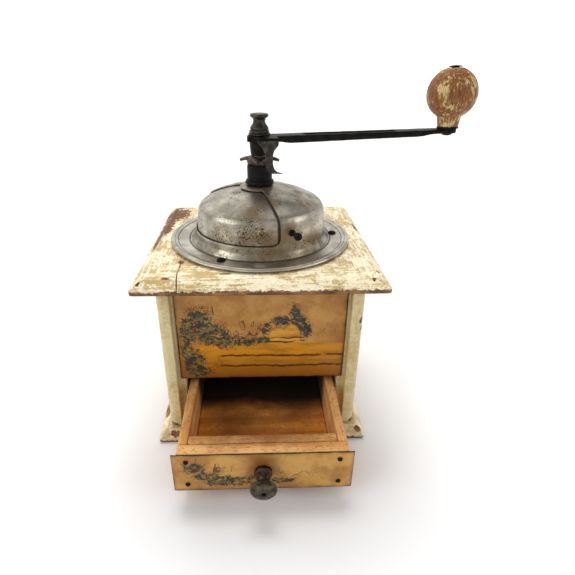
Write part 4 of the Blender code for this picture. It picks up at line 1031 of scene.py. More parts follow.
@dataclass
class Case:
    """The wooden box: two moulded boards, four posts, panels and the printed front.

    Attributes:
        chamfer_top: Width of the top board's sloping border.
        band_top: Height of its upright edge.
        chamfer_base: The same for the base board.
        band_base: The same for the base board.
        hopper_hole: Radius of the hole through the top board.
        crack: The split in the top board, from the ring to the front edge, as (x, y).
        crack_width: Width of the split at the surface.
    """

    chamfer_top: float = 6.0 * MM
    band_top: float = 2.8 * MM
    chamfer_base: float = 4.8 * MM
    band_base: float = 2.6 * MM
    hopper_hole: float = 30.0 * MM
    post_radius: float = 4.5 * MM
    post_neck: float = 1.0 * MM
    crack: tuple[Point, ...] = ((-0.0440, -0.0330), (-0.0463, -0.0375), (-0.0452, -0.0460),
                                (-0.0456, -0.0540),
                                (-0.0449, -0.0610), (-0.0443, -0.0655), (-0.0439, -0.0700))
    crack_width: float = 0.75 * MM

    def moulded_board(self, node: str, chamfer: float, band: float, pitch: float) -> Object:
        """A square board with a softly sloping border above an upright edge.

        Args:
            node: The CAD node it stands for.
            chamfer: Width of the sloping border.
            band: Height of the upright edge.
            pitch: Size of the quads on its field.

        Returns:
            The board.
        """
        space = Space.of(node)
        half, rise = space.size.x / 2, space.size.z - band
        round_edge, corner = 0.6 * MM, 1.6 * MM
        shares = (0.0, 0.05, 0.13, 0.25, 0.4, 0.6, 0.8, 0.93, 1.0, 1.04, 1.08, 1.14)
        border = [chamfer * s for s in shares]
        count = round((half - border[-1]) * 2 / pitch)
        inner_lines = [-half + border[-1] + (half - border[-1]) * 2 * i / count for i in range(1, count)]
        flat = [-half + b for b in border] + inner_lines + [half - b for b in reversed(border)]
        heights = [space.low.z + round_edge * s for s in (0.0, 0.3, 0.7, 1.0)]
        heights += [space.low.z + band * 0.6, space.low.z + band]

        def form(point: Vector) -> Vector:
            """Where a point of the plain grid goes."""
            inset = half - max(abs(point.x), abs(point.y))
            if point.z >= heights[-1] - 1e-9:
                share = min(1.0, inset / chamfer)
                slope = 0.72 * share + 0.28 * math.sin(share * math.pi / 2)
                quirk = 0.35 * MM * eased((inset - chamfer) / (0.7 * MM))
                point.z = space.low.z + band + rise * slope - quirk
                point.z += 0.12 * MM * noise.noise(point * per_metre(21)) - 0.12 * MM
            else:
                low = max(0.0, round_edge - (point.z - space.low.z))
                inset += round_edge - math.sqrt(round_edge ** 2 - low ** 2)
                point.xy = point.xy * ((half - inset) / half) if inset < round_edge * 1.01 else point.xy
            radius = max(corner - inset, 0.0)
            core = half - max(inset, 0.0) - radius
            heart = Vector((min(max(point.x, -core), core), min(max(point.y, -core), core)))
            out = point.xy - heart
            if radius and out.x and out.y:
                point.xy = heart + out.normalized() * radius
            wander = noise.noise(point * per_metre(9)) * 0.18 * MM
            near = max(0.0, 1.0 - inset / chamfer)
            point.xy *= 1.0 - (abs(wander) + 0.02 * MM) * near / half
            return point

        return grid_box(fine(node), (flat, flat, heights), form)

    def crack_wedge(self, top: float, under: float) -> Object:
        """A thin wandering wedge that opens the split."""
        shape = bmesh.new()
        rings = []
        for number, (x, y) in enumerate(self.crack):
            width = self.crack_width / 2 * (0.7 + 0.6 * (number / len(self.crack)))
            low = top - 3.2 * MM if number < 4 else under - MM
            corners = ((x - width, top + MM), (x + width, top + MM), (x + width * 0.4, low),
                       (x - width * 0.4, low))
            rings.append([shape.verts.new((cx, y, cz)) for cx, cz in corners])
        join_rings(shape, rings, closed=False)
        shape.faces.new(rings[0])
        shape.faces.new(rings[-1])
        return new_object("crack_wedge", shape)

    def post_outline(self, inner: float, outer: float, panel: float) -> list[Point]:
        """Section of a post: a quarter of a rounded square outside the panels and a tongue between them.

        Args:
            inner: Where the tongue starts, from the mill's axis.
            outer: The post's outer faces.
            panel: The panels' outer faces.

        Returns:
            The outline as (x, y) for the corner at +X, +Y.
        """
        centre = outer - self.post_radius
        neck = self.post_neck
        outline = [(inner, inner), (panel, inner), (panel, panel - neck), (panel + neck, panel),
                   (outer - 0.4 * MM, panel),
                   (outer, panel + 0.4 * MM)]
        outline += arc((centre, centre), self.post_radius, 0.0, 90.0, 12)
        return outline + [(panel + 0.4 * MM, outer), (panel, outer - 0.4 * MM), (panel, panel + neck),
                          (panel - neck, panel), (inner, panel)]

    def build_post(self, corner: str, side: Point, finish: Finish) -> None:
        """One corner post, with slightly bruised faces."""
        space = Space.of("post_" + corner)
        inner = min(abs(space.low.x), abs(space.high.x))
        outer = max(abs(space.low.x), abs(space.high.x))
        panel = Space.of("right_panel").high.x
        outline = [(x * side[0], y * side[1]) for x, y in self.post_outline(inner, outer, panel)]
        post = prism(fine("post_" + corner), outline, space.low.z, space.high.z, layers=40)
        soften(post, 0.35 * MM, 2, 60.0)
        for vertex in post.data.vertices:
            bruise = abs(noise.noise(vertex.co * per_metre(7))) * 0.22 * MM
            vertex.co = space.hold(vertex.co)
            if max(abs(vertex.co.x), abs(vertex.co.y)) > panel + 0.5 * MM:
                vertex.co.xy *= 1.0 - bruise / outer
        dress(post, finish, "post_" + corner)

    def build(self) -> None:
        """Build the boards, the posts, the panels and the printed front."""
        top_low = Space.of("top_board").low.z
        chips = (Mark((-61, 47, 113), (8.5, 13, 9)), Mark((-63.5, 24, 112), (4.2, 20, 9)),
                 Mark((-65.5, -3, 112), (2.0, 16, 9)), Mark((-50.7, -60.9, 113), (2.0, 1.6, 6)),
                 Mark((-64.3, -65.2, 112), (1.2, 1.2, 5)), Mark((59.8, -63.5, 112), (1.0, 1.6, 5)),
                 Mark((64, -54.9, 112), (1.0, 1.6, 5)), Mark((-19.5, -55.5, 113), (3.4, 1.0, 5)),
                 Mark((-45.4, -40, 113), (1.6, 2.2, 5)), Mark((30, 66, 112), (7, 2, 5)),
                 Mark((66, 20, 112), (1.6, 7, 5)))
        lid = self.moulded_board("top_board", self.chamfer_top, self.band_top, 2.4 * MM)
        space = Space.of("top_board")
        hole = prism("hopper_hole", polygon(self.hopper_hole, 96, 1.3), space.low.z - MM, space.high.z + MM)
        carve(lid, hole)
        carve(lid, self.crack_wedge(space.high.z, space.low.z))
        lid_paint = BrushedOilPaint("oil_paint_brushed_on_top", "cream_paint", light="F0E5C5", shade="BCA06A",
                                    strokes=None, streaks=0.65, grime=0.5, chips=chips,
                                    lip=top_low + self.band_top * 0.85)
        dress(lid, lid_paint, "top_board")

        foot_chips = (Mark((-55, -63, 5), (4, 2, 2)), Mark((61, -62, 5), (2, 2, 2)),
                      Mark((-63, -40, 6), (3, 9, 3)),
                      Mark((63, 10, 5), (3, 12, 3)), Mark((10, 63, 5), (12, 3, 3)))
        foot = self.moulded_board("base_board", self.chamfer_base, self.band_base, 5.0 * MM)
        foot_paint = BrushedOilPaint("oil_paint_brushed_on_base", "cream_paint", light="EADFB9",
                                     shade="C9B182",
                                     strokes=None, streaks=0.4, grime=0.6, chips=foot_chips, lip=1.4 * MM)
        dress(foot, foot_paint, "base_board")

        post_chips = (Mark((-55, -57, 8.5), (3, 3, 1.6)), Mark((57.5, -57, 8.5), (2.6, 3, 1.6)),
                      Mark((57, -58, 84), (1.0, 2, 2.4)), Mark((58, -57, 78), (0.8, 2, 1.5)),
                      Mark((-58, -52, 60), (1.5, 2, 5)), Mark((-57, 56, 30), (3, 3, 6)),
                      Mark((57, 57, 70), (3, 3, 7)))
        paint = BrushedOilPaint("oil_paint_brushed_on_posts", "cream_paint", light="D3C494", shade="BFAA74",
                                strokes=Axis.Z, streaks=0.3, scuffs=0.3, grime=0.45, chips=post_chips)
        for name, side in {"front_left": (-1, -1), "front_right": (1, -1), "back_left": (-1, 1),
                           "back_right": (1, 1)}.items():
            self.build_post(name, side, paint)
        panel_chips = (Mark((-51, 10, 12), (2, 14, 4)), Mark((51, -12, 60), (2, 4, 5)),
                       Mark((5, 51, 100), (9, 2, 4)),
                       Mark((20, 51, 12), (12, 2, 3)), Mark((-51, -25, 80), (2, 3, 6)))
        wall = BrushedOilPaint("oil_paint_brushed_on_panels", "cream_paint", light="D9CCA3", shade="BFA878",
                               strokes=Axis.Z, streaks=0.4, scuffs=0.4, grime=0.5, chips=panel_chips)
        for node in ("left_panel", "right_panel", "back_panel"):
            dress(board(fine(node), Space.of(node), 0.6 * MM, 5 * MM, 0.14 * MM), wall, node)
        beech = PlanedBeech("beech_planed_across", "bare_wood", grain=Axis.X, scorch=0.25)
        dress(board(fine("front_board"), Space.of("front_board")), beech, "front_board")
        self.build_front()

    def build_front(self) -> None:
        """The printed sheet over the front board."""
        node = "front_picture_plate"
        space = Space.of(node)
        foot = (space.centre.x, space.low.y, space.low.z)
        scene = PrintedTin(
            "tinplate_printed_and_lacquered_front", "printed_tin", foot=foot, tall=space.size.z,
            wide=space.size.x,
            bushes=((-0.64, 0.52, 0.08, 0.12), (-0.54, 0.59, 0.12, 0.13), (-0.44, 0.48, 0.14, 0.11),
                    (-0.32, 0.41, 0.13, 0.075), (-0.16, 0.40, 0.13, 0.05), (0.0, 0.41, 0.07, 0.035),
                    (-0.66, 0.30, 0.06, 0.10), (-0.61, 0.19, 0.09, 0.12), (-0.57, 0.08, 0.09, 0.05)),
            trees=((0.29, 0.66, 0.045, 0.10), (0.33, 0.58, 0.06, 0.08), (0.385, 0.52, 0.06, 0.075),
                   (0.18, 0.61, 0.10, 0.045), (0.04, 0.53, 0.04, 0.06)),
            stack=((0.265, 0.43, 0.085, 0.145), (0.145, 0.42, 0.085, 0.125)), furrows=(0.245, 0.135),
            sketches=((-0.10, 0.54, 0.15, 0.09), (-0.46, 0.13, 0.12, 0.17), (0.57, 0.50, 0.10, 0.03),
                      (-0.5, 0.72, 0.16, 0.05)))
        plate = board(fine(node), space, 0.12 * MM, 3 * MM, 0.0)
        dress(plate, scene, node)


# ---------------------------------------------------------------- drawer

@dataclass
class Drawer:
    """The drawer: a beech box, a face board with a printed sheet, four nails and a turned knob.

    Attributes:
        curl: How far the sheet's free ends bend back.
        knob_face: Radius of the knob's face.
        knob_neck: Radius of its neck.
        knob_foot: Radius of its foot.
    """

    curl: float = 0.2 * MM
    knob_face: float = 7.0 * MM
    knob_neck: float = 2.6 * MM
    knob_foot: float = 4.9 * MM

    def build(self) -> None:
        """Build the box, the sheet and the knob."""
        # The sides, floor and back wall carry a painted shade that darkens them towards the back of the
        # drawer.
        runs = PlanedBeech("beech_planed_lengthways", "bare_wood", grain=Axis.Y, painted_back_shade=0.9)
        across = PlanedBeech("beech_planed_crossways", "bare_wood", grain=Axis.X,
                             stains=(Mark((0, -97, 34), (30, 6, 1.5)),))
        floor = PlanedBeech("beech_coffee_stained_with_painted_shade", "bare_wood", pale="F8A848", deep="CC7C2E",
                            grain=Axis.X,
                            stains=(Mark((-18, -60, 11), (16, 14, 3)), Mark((24, -40, 11), (12, 20, 3))),
                            painted_back_shade=0.97)
        back = PlanedBeech("beech_darkened_by_painted_shade", "bare_wood", grain=Axis.X, painted_back_shade=0.985)
        for node, finish in (("drawer_side_left", runs), ("drawer_side_right", runs),
                             ("drawer_front_wall", across),
                             ("drawer_back_wall", back), ("drawer_face_board", across),
                             ("drawer_floor", floor)):
            dress(board(fine(node), Space.of(node), 0.7 * MM, 3 * MM, 0.16 * MM), finish, node)
        self.build_sheet()
        self.build_nails()
        self.build_knob()

    def build_sheet(self) -> None:
        """The printed sheet, whose free ends curl back past the face board."""
        node = "drawer_picture_plate"
        space = Space.of(node)
        inner = Space.of("drawer_face_board").high.x + 0.2 * MM
        reach = space.high.x - inner

        def bend(point: Vector) -> Vector:
            """Curl the free ends back."""
            free = max(0.0, abs(point.x) - inner) / reach
            point.y += self.curl * free ** 2
            point.x -= math.copysign(0.2 * MM * free ** 2, point.x)
            return point

        foot = (space.centre.x, space.low.y, space.low.z)
        knob = Space.of("drawer_knob").centre
        scene = PrintedTin(
            "tinplate_printed_and_lacquered_drawer", "printed_tin", foot=foot, tall=space.size.z,
            wide=space.size.x,
            horizon=-0.4, sky="CC9A4C", field="B98A3A",
            bushes=((-1.40, 0.62, 0.20, 0.14), (-1.15, 0.40, 0.26, 0.10), (-0.86, 0.27, 0.30, 0.14),
                    (-0.48, 0.24, 0.26, 0.12), (-0.20, 0.26, 0.14, 0.14), (0.36, 0.24, 0.26, 0.07)),
            sketches=((-0.86, 0.62, 0.34, 0.14), (0.80, 0.40, 0.42, 0.10), (0.30, 0.52, 0.12, 0.12),
                      (-1.25, 0.85, 0.14, 0.08)),
            stain=(0.0, (knob.z - space.low.z) / space.size.z + 0.25, 0.5))
        sheet = board(fine(node), space, 0.12 * MM, 2 * MM, 0.0, bend)
        for side in (-1, 1):
            for row in ("top", "bottom"):
                nail = Space.of("drawer_nail_%s_%s" % (row, "left" if side < 0 else "right")).centre
                hole = prism("nail_hole", polygon(0.8 * MM, 16), -2 * MM, 2 * MM,
                             facing(Axis.Y, Vector((nail.x, space.centre.y, nail.z))))
                carve(sheet, hole)
        hole = prism("knob_hole", polygon(1.9 * MM, 24), -2 * MM, 2 * MM,
                     facing(Axis.Y, Vector((knob.x, space.centre.y, knob.z))))
        dress(carve(sheet, hole), scene, node)

    def build_nails(self) -> None:
        """Four hand-driven nails with uneven heads."""
        for row in ("top", "bottom"):
            for side in ("left", "right"):
                node = "drawer_nail_%s_%s" % (row, side)
                space = Space.of(node)
                head = space.size.x / 2
                long = space.size.y
                place = facing(Axis.Y, Vector((space.centre.x, space.high.y, space.centre.z)))
                thick = 0.5 * MM
                profile = filleted([(0.0, 0.0), (0.3 * MM, 0.9 * MM, 0.3 * MM), (0.5 * MM, 2 * MM),
                                    (0.5 * MM, long - thick, 0.1 * MM), (head, long - thick, 0.12 * MM),
                                    (head * 0.86, long - 0.12 * MM, 0.3 * MM), (0.0, long)])
                seed = space.centre.x * 977 + space.centre.z * 331

                def uneven(radius: float, height: float, angle: float) -> float:
                    """Slight waviness round the turning."""
                    lean = noise.noise(Vector((math.cos(angle), math.sin(angle), seed)) * 1.3)
                    return 1.0 - 0.16 * abs(lean)

                dress(turned(fine(node), profile, 28, place, uneven), IRON, node)

    def build_knob(self) -> None:
        """The turned brass knob and the end of its screw."""
        node = "drawer_knob"
        space = Space.of(node)
        long = space.size.y
        place = facing(Axis.Y, Vector((space.centre.x, space.high.y, space.centre.z)))
        bore, foot, neck, face = 1.9 * MM, self.knob_foot, self.knob_neck, self.knob_face
        outer = filleted([
            (bore, 0.0), (foot, 0.0, 0.3 * MM), (foot, 1.7 * MM, 0.7 * MM),
            (foot - 0.9 * MM, 2.5 * MM, 0.8 * MM),
            (neck + 0.9 * MM, 5.0 * MM, 2.4 * MM), (neck, 8.0 * MM, 2 * MM),
            (face - 1.6 * MM, 9.9 * MM, 1.4 * MM),
            (face, 10.9 * MM, 0.5 * MM), (face, 11.8 * MM, 0.6 * MM), (face - 1.5 * MM, 12.8 * MM, 1.6 * MM),
            (face * 0.45, long - 0.35 * MM, 2.5 * MM), (bore - 0.8 * MM, long, 0.2 * MM),
            (bore - 0.8 * MM, long - 0.8 * MM), (bore, long - 0.8 * MM)], 6)
        brass = WornMetal("brass_turned_and_browned", "dark_brass", base="3A342A", bright="5F5747",
                          stain="241F18",
                          stained=0.45, cloud=5.0, rough=(0.30, 0.52), pits=(0.6, 0.15), lathe=0.4,
                          axis=Axis.Y,
                          centre=tuple(space.centre))
        dress(turned(fine(node), outer, 72, place), brass, node)
        node = "drawer_knob_screw"
        space = Space.of(node)
        radius = space.size.x / 2
        long = space.size.y
        place = facing(Axis.Y, Vector((space.centre.x, space.high.y, space.centre.z)))
        profile = filleted([(0.0, 0.0), (radius * 0.8, 0.0, 0.2 * MM), (radius, 0.5 * MM),
                            (radius, long - 0.4 * MM, 0.3 * MM), (0.0, long)])
        screw = turned(fine(node), profile, 32, place)
        slot = Space(Vector((space.low.x - MM, space.low.y - MM, space.centre.z - 0.3 * MM)),
                     Vector((space.high.x + MM, space.low.y + 0.5 * MM, space.centre.z + 0.3 * MM)))
        carve(screw, board("slot", slot, 0.05 * MM, 10 * MM, 0.0))
        dress(screw, STEEL, node)


# ---------------------------------------------------------------- hopper

@dataclass
class Hopper:
    """The sheet steel hopper: a flange ring, a pressed dome with a window, and its turning door.

    Attributes:
        radius: The dome's wall at the foot of its shoulder.
        taper: How much wider the wall is at its foot.
        shoulder: Radius of the rounded shoulder.
        crown: Radius of the crown's large curve.
        sheet: Thickness of the dome's sheet.
        flare: How far the skirt spreads.
        window: First and last edge of the window, in degrees.
        edge_offset: Distance from the axis of the straight front edge.
        collar_ring: Radius of sheet left round the collar.
        corner: Radius of the window's lower corners.
    """

    radius: float = 40.2 * MM
    taper: float = 1.1 * MM
    shoulder: float = 8.0 * MM
    crown: float = 77.2 * MM
    sheet: float = 0.9 * MM
    flare: float = 2.6 * MM
    skirt: float = 6.0 * MM
    window: Point = (-73.5, -210.0)
    edge_offset: float = 2.76 * MM
    edge_turn: float = -69.6
    collar_ring: float = 12.0 * MM
    corner: float = 5.0 * MM
    door_gap: float = 0.5 * MM
    door_sheet: float = 0.8 * MM
    columns: int = 180
    top: float = field(init=False)
    foot: float = field(init=False)

    def __post_init__(self) -> None:
        """Take the dome's heights from the frame."""
        space = Space.of("dome_shell")
        self.foot, self.top = space.low.z, space.high.z

    def profile(self, inset: float, hole: float, foot: bool = True) -> list[Point]:
        """Outline of the dome from its skirt to the hole in its crown.

        Args:
            inset: How far inside the outer surface.
            hole: Radius of the hole in the crown.
            foot: Whether the flared skirt is part of it.

        Returns:
            Points of (radius, height).
        """
        wall_foot = self.foot - AIR + self.skirt
        heart = self.top - self.crown
        knee = self.radius - self.shoulder
        knee_height = heart + math.sqrt((self.crown - self.shoulder) ** 2 - knee ** 2)
        points: list[Point] = []
        if foot:
            for step in range(9):
                share = step / 8
                swell = (1 - share) ** 2.6
                points.append((self.radius + self.taper + self.flare * swell - inset,
                               self.foot + (wall_foot - self.foot) * share))
        else:
            points.append((self.radius + self.taper - inset, self.foot + 2 * AIR))
        rows = 8
        for step in range(1, rows):
            share = step / rows
            points.append((self.radius + self.taper * (1 - share) - inset,
                           wall_foot + (knee_height - wall_foot) * share))
        turn = 90.0 - math.degrees(math.asin(knee / (self.crown - self.shoulder)))
        points += arc((knee, knee_height), self.shoulder - inset, 0.0, turn, 10)
        start = math.degrees(math.asin(points[-1][0] / (self.crown - inset)))
        ring = math.degrees(math.asin(self.collar_ring / (self.crown - inset)))
        end = math.degrees(math.asin(hole / (self.crown - inset)))
        for step in range(1, 11):
            angle = math.radians(start + (ring - start) * step / 10)
            points.append(((self.crown - inset) * math.sin(angle),
                           heart + (self.crown - inset) * math.cos(angle)))
        for step in range(1, 4):
            angle = math.radians(ring + (end - ring) * step / 3)
            points.append(((self.crown - inset) * math.sin(angle),
                           heart + (self.crown - inset) * math.cos(angle)))
        return points

    def dent(self, angle: float, height: float, radius: float) -> float:
        """Small dents that the pressing and long use left, in metres."""
        where = Vector((radius * math.cos(angle), radius * math.sin(angle), height))
        return 0.10 * MM * noise.noise(where * per_metre(12)) + 0.14 * MM * noise.noise(where * per_metre(33))

    def build_shell(self) -> None:
        """The dome, with its window cut by leaving faces out, then given its thickness."""
        collar = Space.of("bridge").high
        outline = self.profile(0.0, COLLAR_RADIUS + AIR)
        rows = len(outline)
        step = 360.0 / self.columns
        first = round(self.window[0] / step)
        last = round(self.window[1] / step)
        sill = min(range(rows), key=lambda k: abs(outline[k][1] - (self.foot + 6.7 * MM)))
        ring_row = rows - 4
        reach = self.radius + self.taper
        shape = bmesh.new()
        grid = []
        for row, (radius, height) in enumerate(outline):
            ring = []
            for column in range(self.columns):
                angle = column * step
                angle -= 360.0 if angle > 90.0 else 0.0
                turn = self.edge_turn - math.degrees(math.asin(min(1.0, self.edge_offset / radius)))
                shift = turn - first * step if radius < reach else 0.0
                pull = math.exp(-((angle - first * step) / 14.0) ** 2)
                place_angle = angle + shift * pull
                place_height = height
                if radius > self.collar_ring * 1.5:
                    place_angle, place_height = self.round_corner(place_angle, height, outline[sill][1],
                                                                  first * step,
                                                                  last * step, radius)
                a = math.radians(place_angle)
                r = radius + (self.dent(a, height, radius) if 6 < row < rows - 3 else 0.0)
                if place_height != height:
                    r += (height - place_height) * self.taper / (20 * MM)
                ring.append(shape.verts.new((r * math.cos(a), r * math.sin(a), place_height)))
            grid.append(ring)
        for row in range(rows - 1):
            for column in range(self.columns):
                centre = (column + 0.5) * step
                centre -= 360.0 if centre > 90.0 else 0.0
                inside = last * step < centre < first * step and sill <= row < ring_row
                if not inside:
                    beside = (column + 1) % self.columns
                    shape.faces.new([grid[row][column], grid[row][beside], grid[row + 1][beside],
                                     grid[row + 1][column]])
        shell = new_object(fine("dome_shell"), shape)
        modify(shell, 'SOLIDIFY', thickness=self.sheet, offset=-1.0, use_even_offset=False)
        freeze(shell)
        soften(shell, 0.16 * MM, 2, 50.0)
        dress(shell, NICKEL, "dome_shell")
        LOG.info("window from column %d to %d under the collar at %.4f", first, last, collar.z)

    def round_corner(self, angle: float, height: float, sill: float, first: float, last: float,
                     radius: float) -> Point:
        """Move a point near one of the window's lower corners so that the corner is round.

        Args:
            angle: The point's angle in degrees.
            height: Its height.
            sill: Height of the window's sill.
            first: The window's front edge.
            last: The window's far edge.
            radius: The point's distance from the axis.

        Returns:
            The moved angle and height.
        """
        along = math.radians(1.0) * radius
        for edge, way in ((first, -1.0), (last, 1.0)):
            a = (angle - edge) * way * along
            b = height - sill
            size = self.corner
            if not (-size < a < size * 1.3 and -size < b < size * 1.3):
                continue
            if b > 0.2 * size and radius < self.radius * 0.97:
                continue
            heart_a, heart_b = size, size
            out = Vector((a - heart_a, b - heart_b))
            corner = max(abs(out.x), abs(out.y))
            if corner == 0.0 or out.x > 0.0 or out.y > 0.0:
                continue
            target = out * (corner / out.length)
            fade = eased(1.0 - abs(corner - size) / (size * 0.9))
            moved = out.lerp(target, fade)
            return edge + (heart_a + moved.x) * way / along, sill + heart_b + moved.y
        return angle, height

    def build_door(self) -> None:
        """The turning door, a sheet just inside the dome."""
        inset = self.sheet + self.door_gap
        outline = self.profile(inset, COLLAR_RADIUS + 2 * AIR, foot=False)
        start, end = -71.5, -214.0
        shape = bmesh.new()
        grid = []
        steps = 110
        for radius, height in outline:
            ring = []
            for step in range(steps + 1):
                a = math.radians(start + (end - start) * step / steps)
                r = radius + self.dent(a, height, radius + 0.01) * (0.8 if radius > 12 * MM else 0.0)
                ring.append(shape.verts.new((r * math.cos(a), r * math.sin(a), height)))
            grid.append(ring)
        for row in range(len(outline) - 1):
            for step in range(steps):
                shape.faces.new([grid[row][step], grid[row][step + 1], grid[row + 1][step + 1],
                                 grid[row + 1][step]])
        door = new_object(fine("hopper_door"), shape)
        face = door.data.polygons[0]
        away = Vector((face.center.x, face.center.y, max(0.0, face.center.z - self.top + 20 * MM)))
        if face.normal.dot(away) < 0:
            door.data.flip_normals()
        modify(door, 'SOLIDIFY', thickness=self.door_sheet, offset=-1.0, use_even_offset=False)
        freeze(door)
        soften(door, 0.15 * MM, 2, 50.0)
        dress(door, DOOR_NICKEL, "hopper_door")

    def build_ring(self) -> None:
        """The flange ring: flat inside, with a rolled lip."""
        node = "flange_ring"
        space = Space.of(node)
        outer = space.size.x / 2
        low, top = space.low.z, space.high.z
        flat = low + 0.9 * MM
        inner = 30.3 * MM
        profile = filleted([
            (inner, low), (outer - 0.9 * MM, low, 0.3 * MM), (outer, low + 0.5 * MM, 0.4 * MM),
            (outer, top - 0.7 * MM, 0.9 * MM), (outer - 1.3 * MM, top, 1.4 * MM),
            (outer - 3.4 * MM, top - 0.35 * MM, 2 * MM),
            (outer - 5.2 * MM, flat + 0.05 * MM, 2 * MM), (outer - 8.5 * MM, flat, 0.4 * MM),
            (44.9 * MM, flat + 0.05 * MM, 0.5 * MM), (44.2 * MM, flat, 0.3 * MM),
            (inner + 0.4 * MM, flat, 0.3 * MM),
            (inner, flat - 0.3 * MM)], 5)

        def uneven(radius: float, height: float, angle: float) -> float:
            """Slight waviness round the turning."""
            if radius < 46 * MM:
                return 1.0
            return 1.0 - 0.0022 * abs(noise.noise(Vector((math.cos(angle), math.sin(angle), 3.1)) * 2.0))

        ring = turned(fine(node), profile, 192, None, uneven)
        for number in (1, 2, 3):
            spot = Space.of("ring_screw_%d" % number).centre
            carve(ring, prism("screw_hole", polygon(1.7 * MM, 24), low - MM, top + MM,
                              Matrix.Translation((*spot.xy, 0))))
        for side in ("left", "right"):
            spot = Space.of("bridge_bolt_" + side).centre
            carve(ring, prism("bolt_hole", polygon(2.3 * MM, 24), low - MM, top + MM,
                              Matrix.Translation((*spot.xy, 0))))
        dress(ring, RING_NICKEL, node)

    def build_screws(self) -> None:
        """Three slotted round head screws."""
        for number in (1, 2, 3):
            node = "ring_screw_%d" % number
            space = Space.of(node)
            head = space.size.x / 2
            low, high = space.low.z, space.high.z
            seat = high - 1.2 * MM
            shank = 1.3 * MM
            profile = filleted([(0.0, low), (0.5 * MM, low + 1.0 * MM), (shank, low + 2.6 * MM),
                                (shank, seat),
                                (head, seat, 0.15 * MM), (head * 0.94, seat + 0.35 * MM, 0.4 * MM),
                                (head * 0.6, high - 0.1 * MM, MM), (0.0, high)])
            screw = turned(fine(node), profile, 40, Matrix.Translation((*space.centre.xy, 0)))
            turn = Matrix.Translation(space.centre) @ Matrix.Rotation(math.radians(35.0 + 67 * number), 4,
                                                                      'Z')
            deep = high - space.centre.z
            outline = [(-4 * MM, -0.33 * MM), (4 * MM, -0.33 * MM), (4 * MM, 0.33 * MM), (-4 * MM, 0.33 * MM)]
            carve(screw, prism("slot", outline, deep - 0.55 * MM, deep + MM, turn))
            dress(screw, IRON, node)

    def build_stud(self) -> None:
        """The fixed stud on the dome and the hollow rivet on the door."""
        for node, finish in (("dome_stud", IRON), ("door_rivet", RIVET)):
            space = Space.of(node)
            outward = Vector((*space.centre.xy, 0.0)).normalized()
            angle = math.atan2(outward.y, outward.x)
            place = Matrix.Rotation(angle, 4, 'Z') @ Matrix.Rotation(math.radians(90), 4, 'Y')
            if node == "dome_stud":
                rise = (space.centre.z - self.foot - self.skirt) / (11 * MM)
                wall = self.radius + self.taper * (1 - rise) + AIR
                at = Matrix.Translation(outward * wall + Vector((0, 0, space.centre.z))) @ place
                profile = filleted([
                    (0.0, 0.0), (2.0 * MM, 0.0, 0.1 * MM), (2.0 * MM, 0.6 * MM, 0.5 * MM),
                    (1.15 * MM, 1.3 * MM, 0.5 * MM),
                    (1.15 * MM, 4.0 * MM, 0.8 * MM), (1.9 * MM, 4.9 * MM, 1.2 * MM),
                    (2.4 * MM, 6.6 * MM, 2.2 * MM),
                    (1.8 * MM, 8.4 * MM, 1.6 * MM), (0.0, 9.0 * MM)], 5)
            else:
                wall = self.radius + self.taper * 0.25 - self.sheet - self.door_gap + AIR
                at = Matrix.Translation(outward * wall + Vector((0, 0, space.centre.z))) @ place
                profile = filleted([(1.2 * MM, 0.0), (2.6 * MM, 0.0, 0.1 * MM),
                                    (2.6 * MM, 0.45 * MM, 0.25 * MM),
                                    (2.1 * MM, 1.0 * MM, 0.35 * MM), (1.55 * MM, 0.95 * MM, 0.3 * MM),
                                    (1.2 * MM, 0.4 * MM, 0.2 * MM)], 5)
            dress(turned(fine(node), profile, 40, at), finish, node)

    def build(self) -> None:
        """Build the ring, the dome, the door and their fixings."""
        self.build_ring()
        self.build_screws()
        self.build_shell()
        self.build_door()
        self.build_stud()


# ---------------------------------------------------------------- bridge and burrs

COLLAR_RADIUS = 7.5 * MM


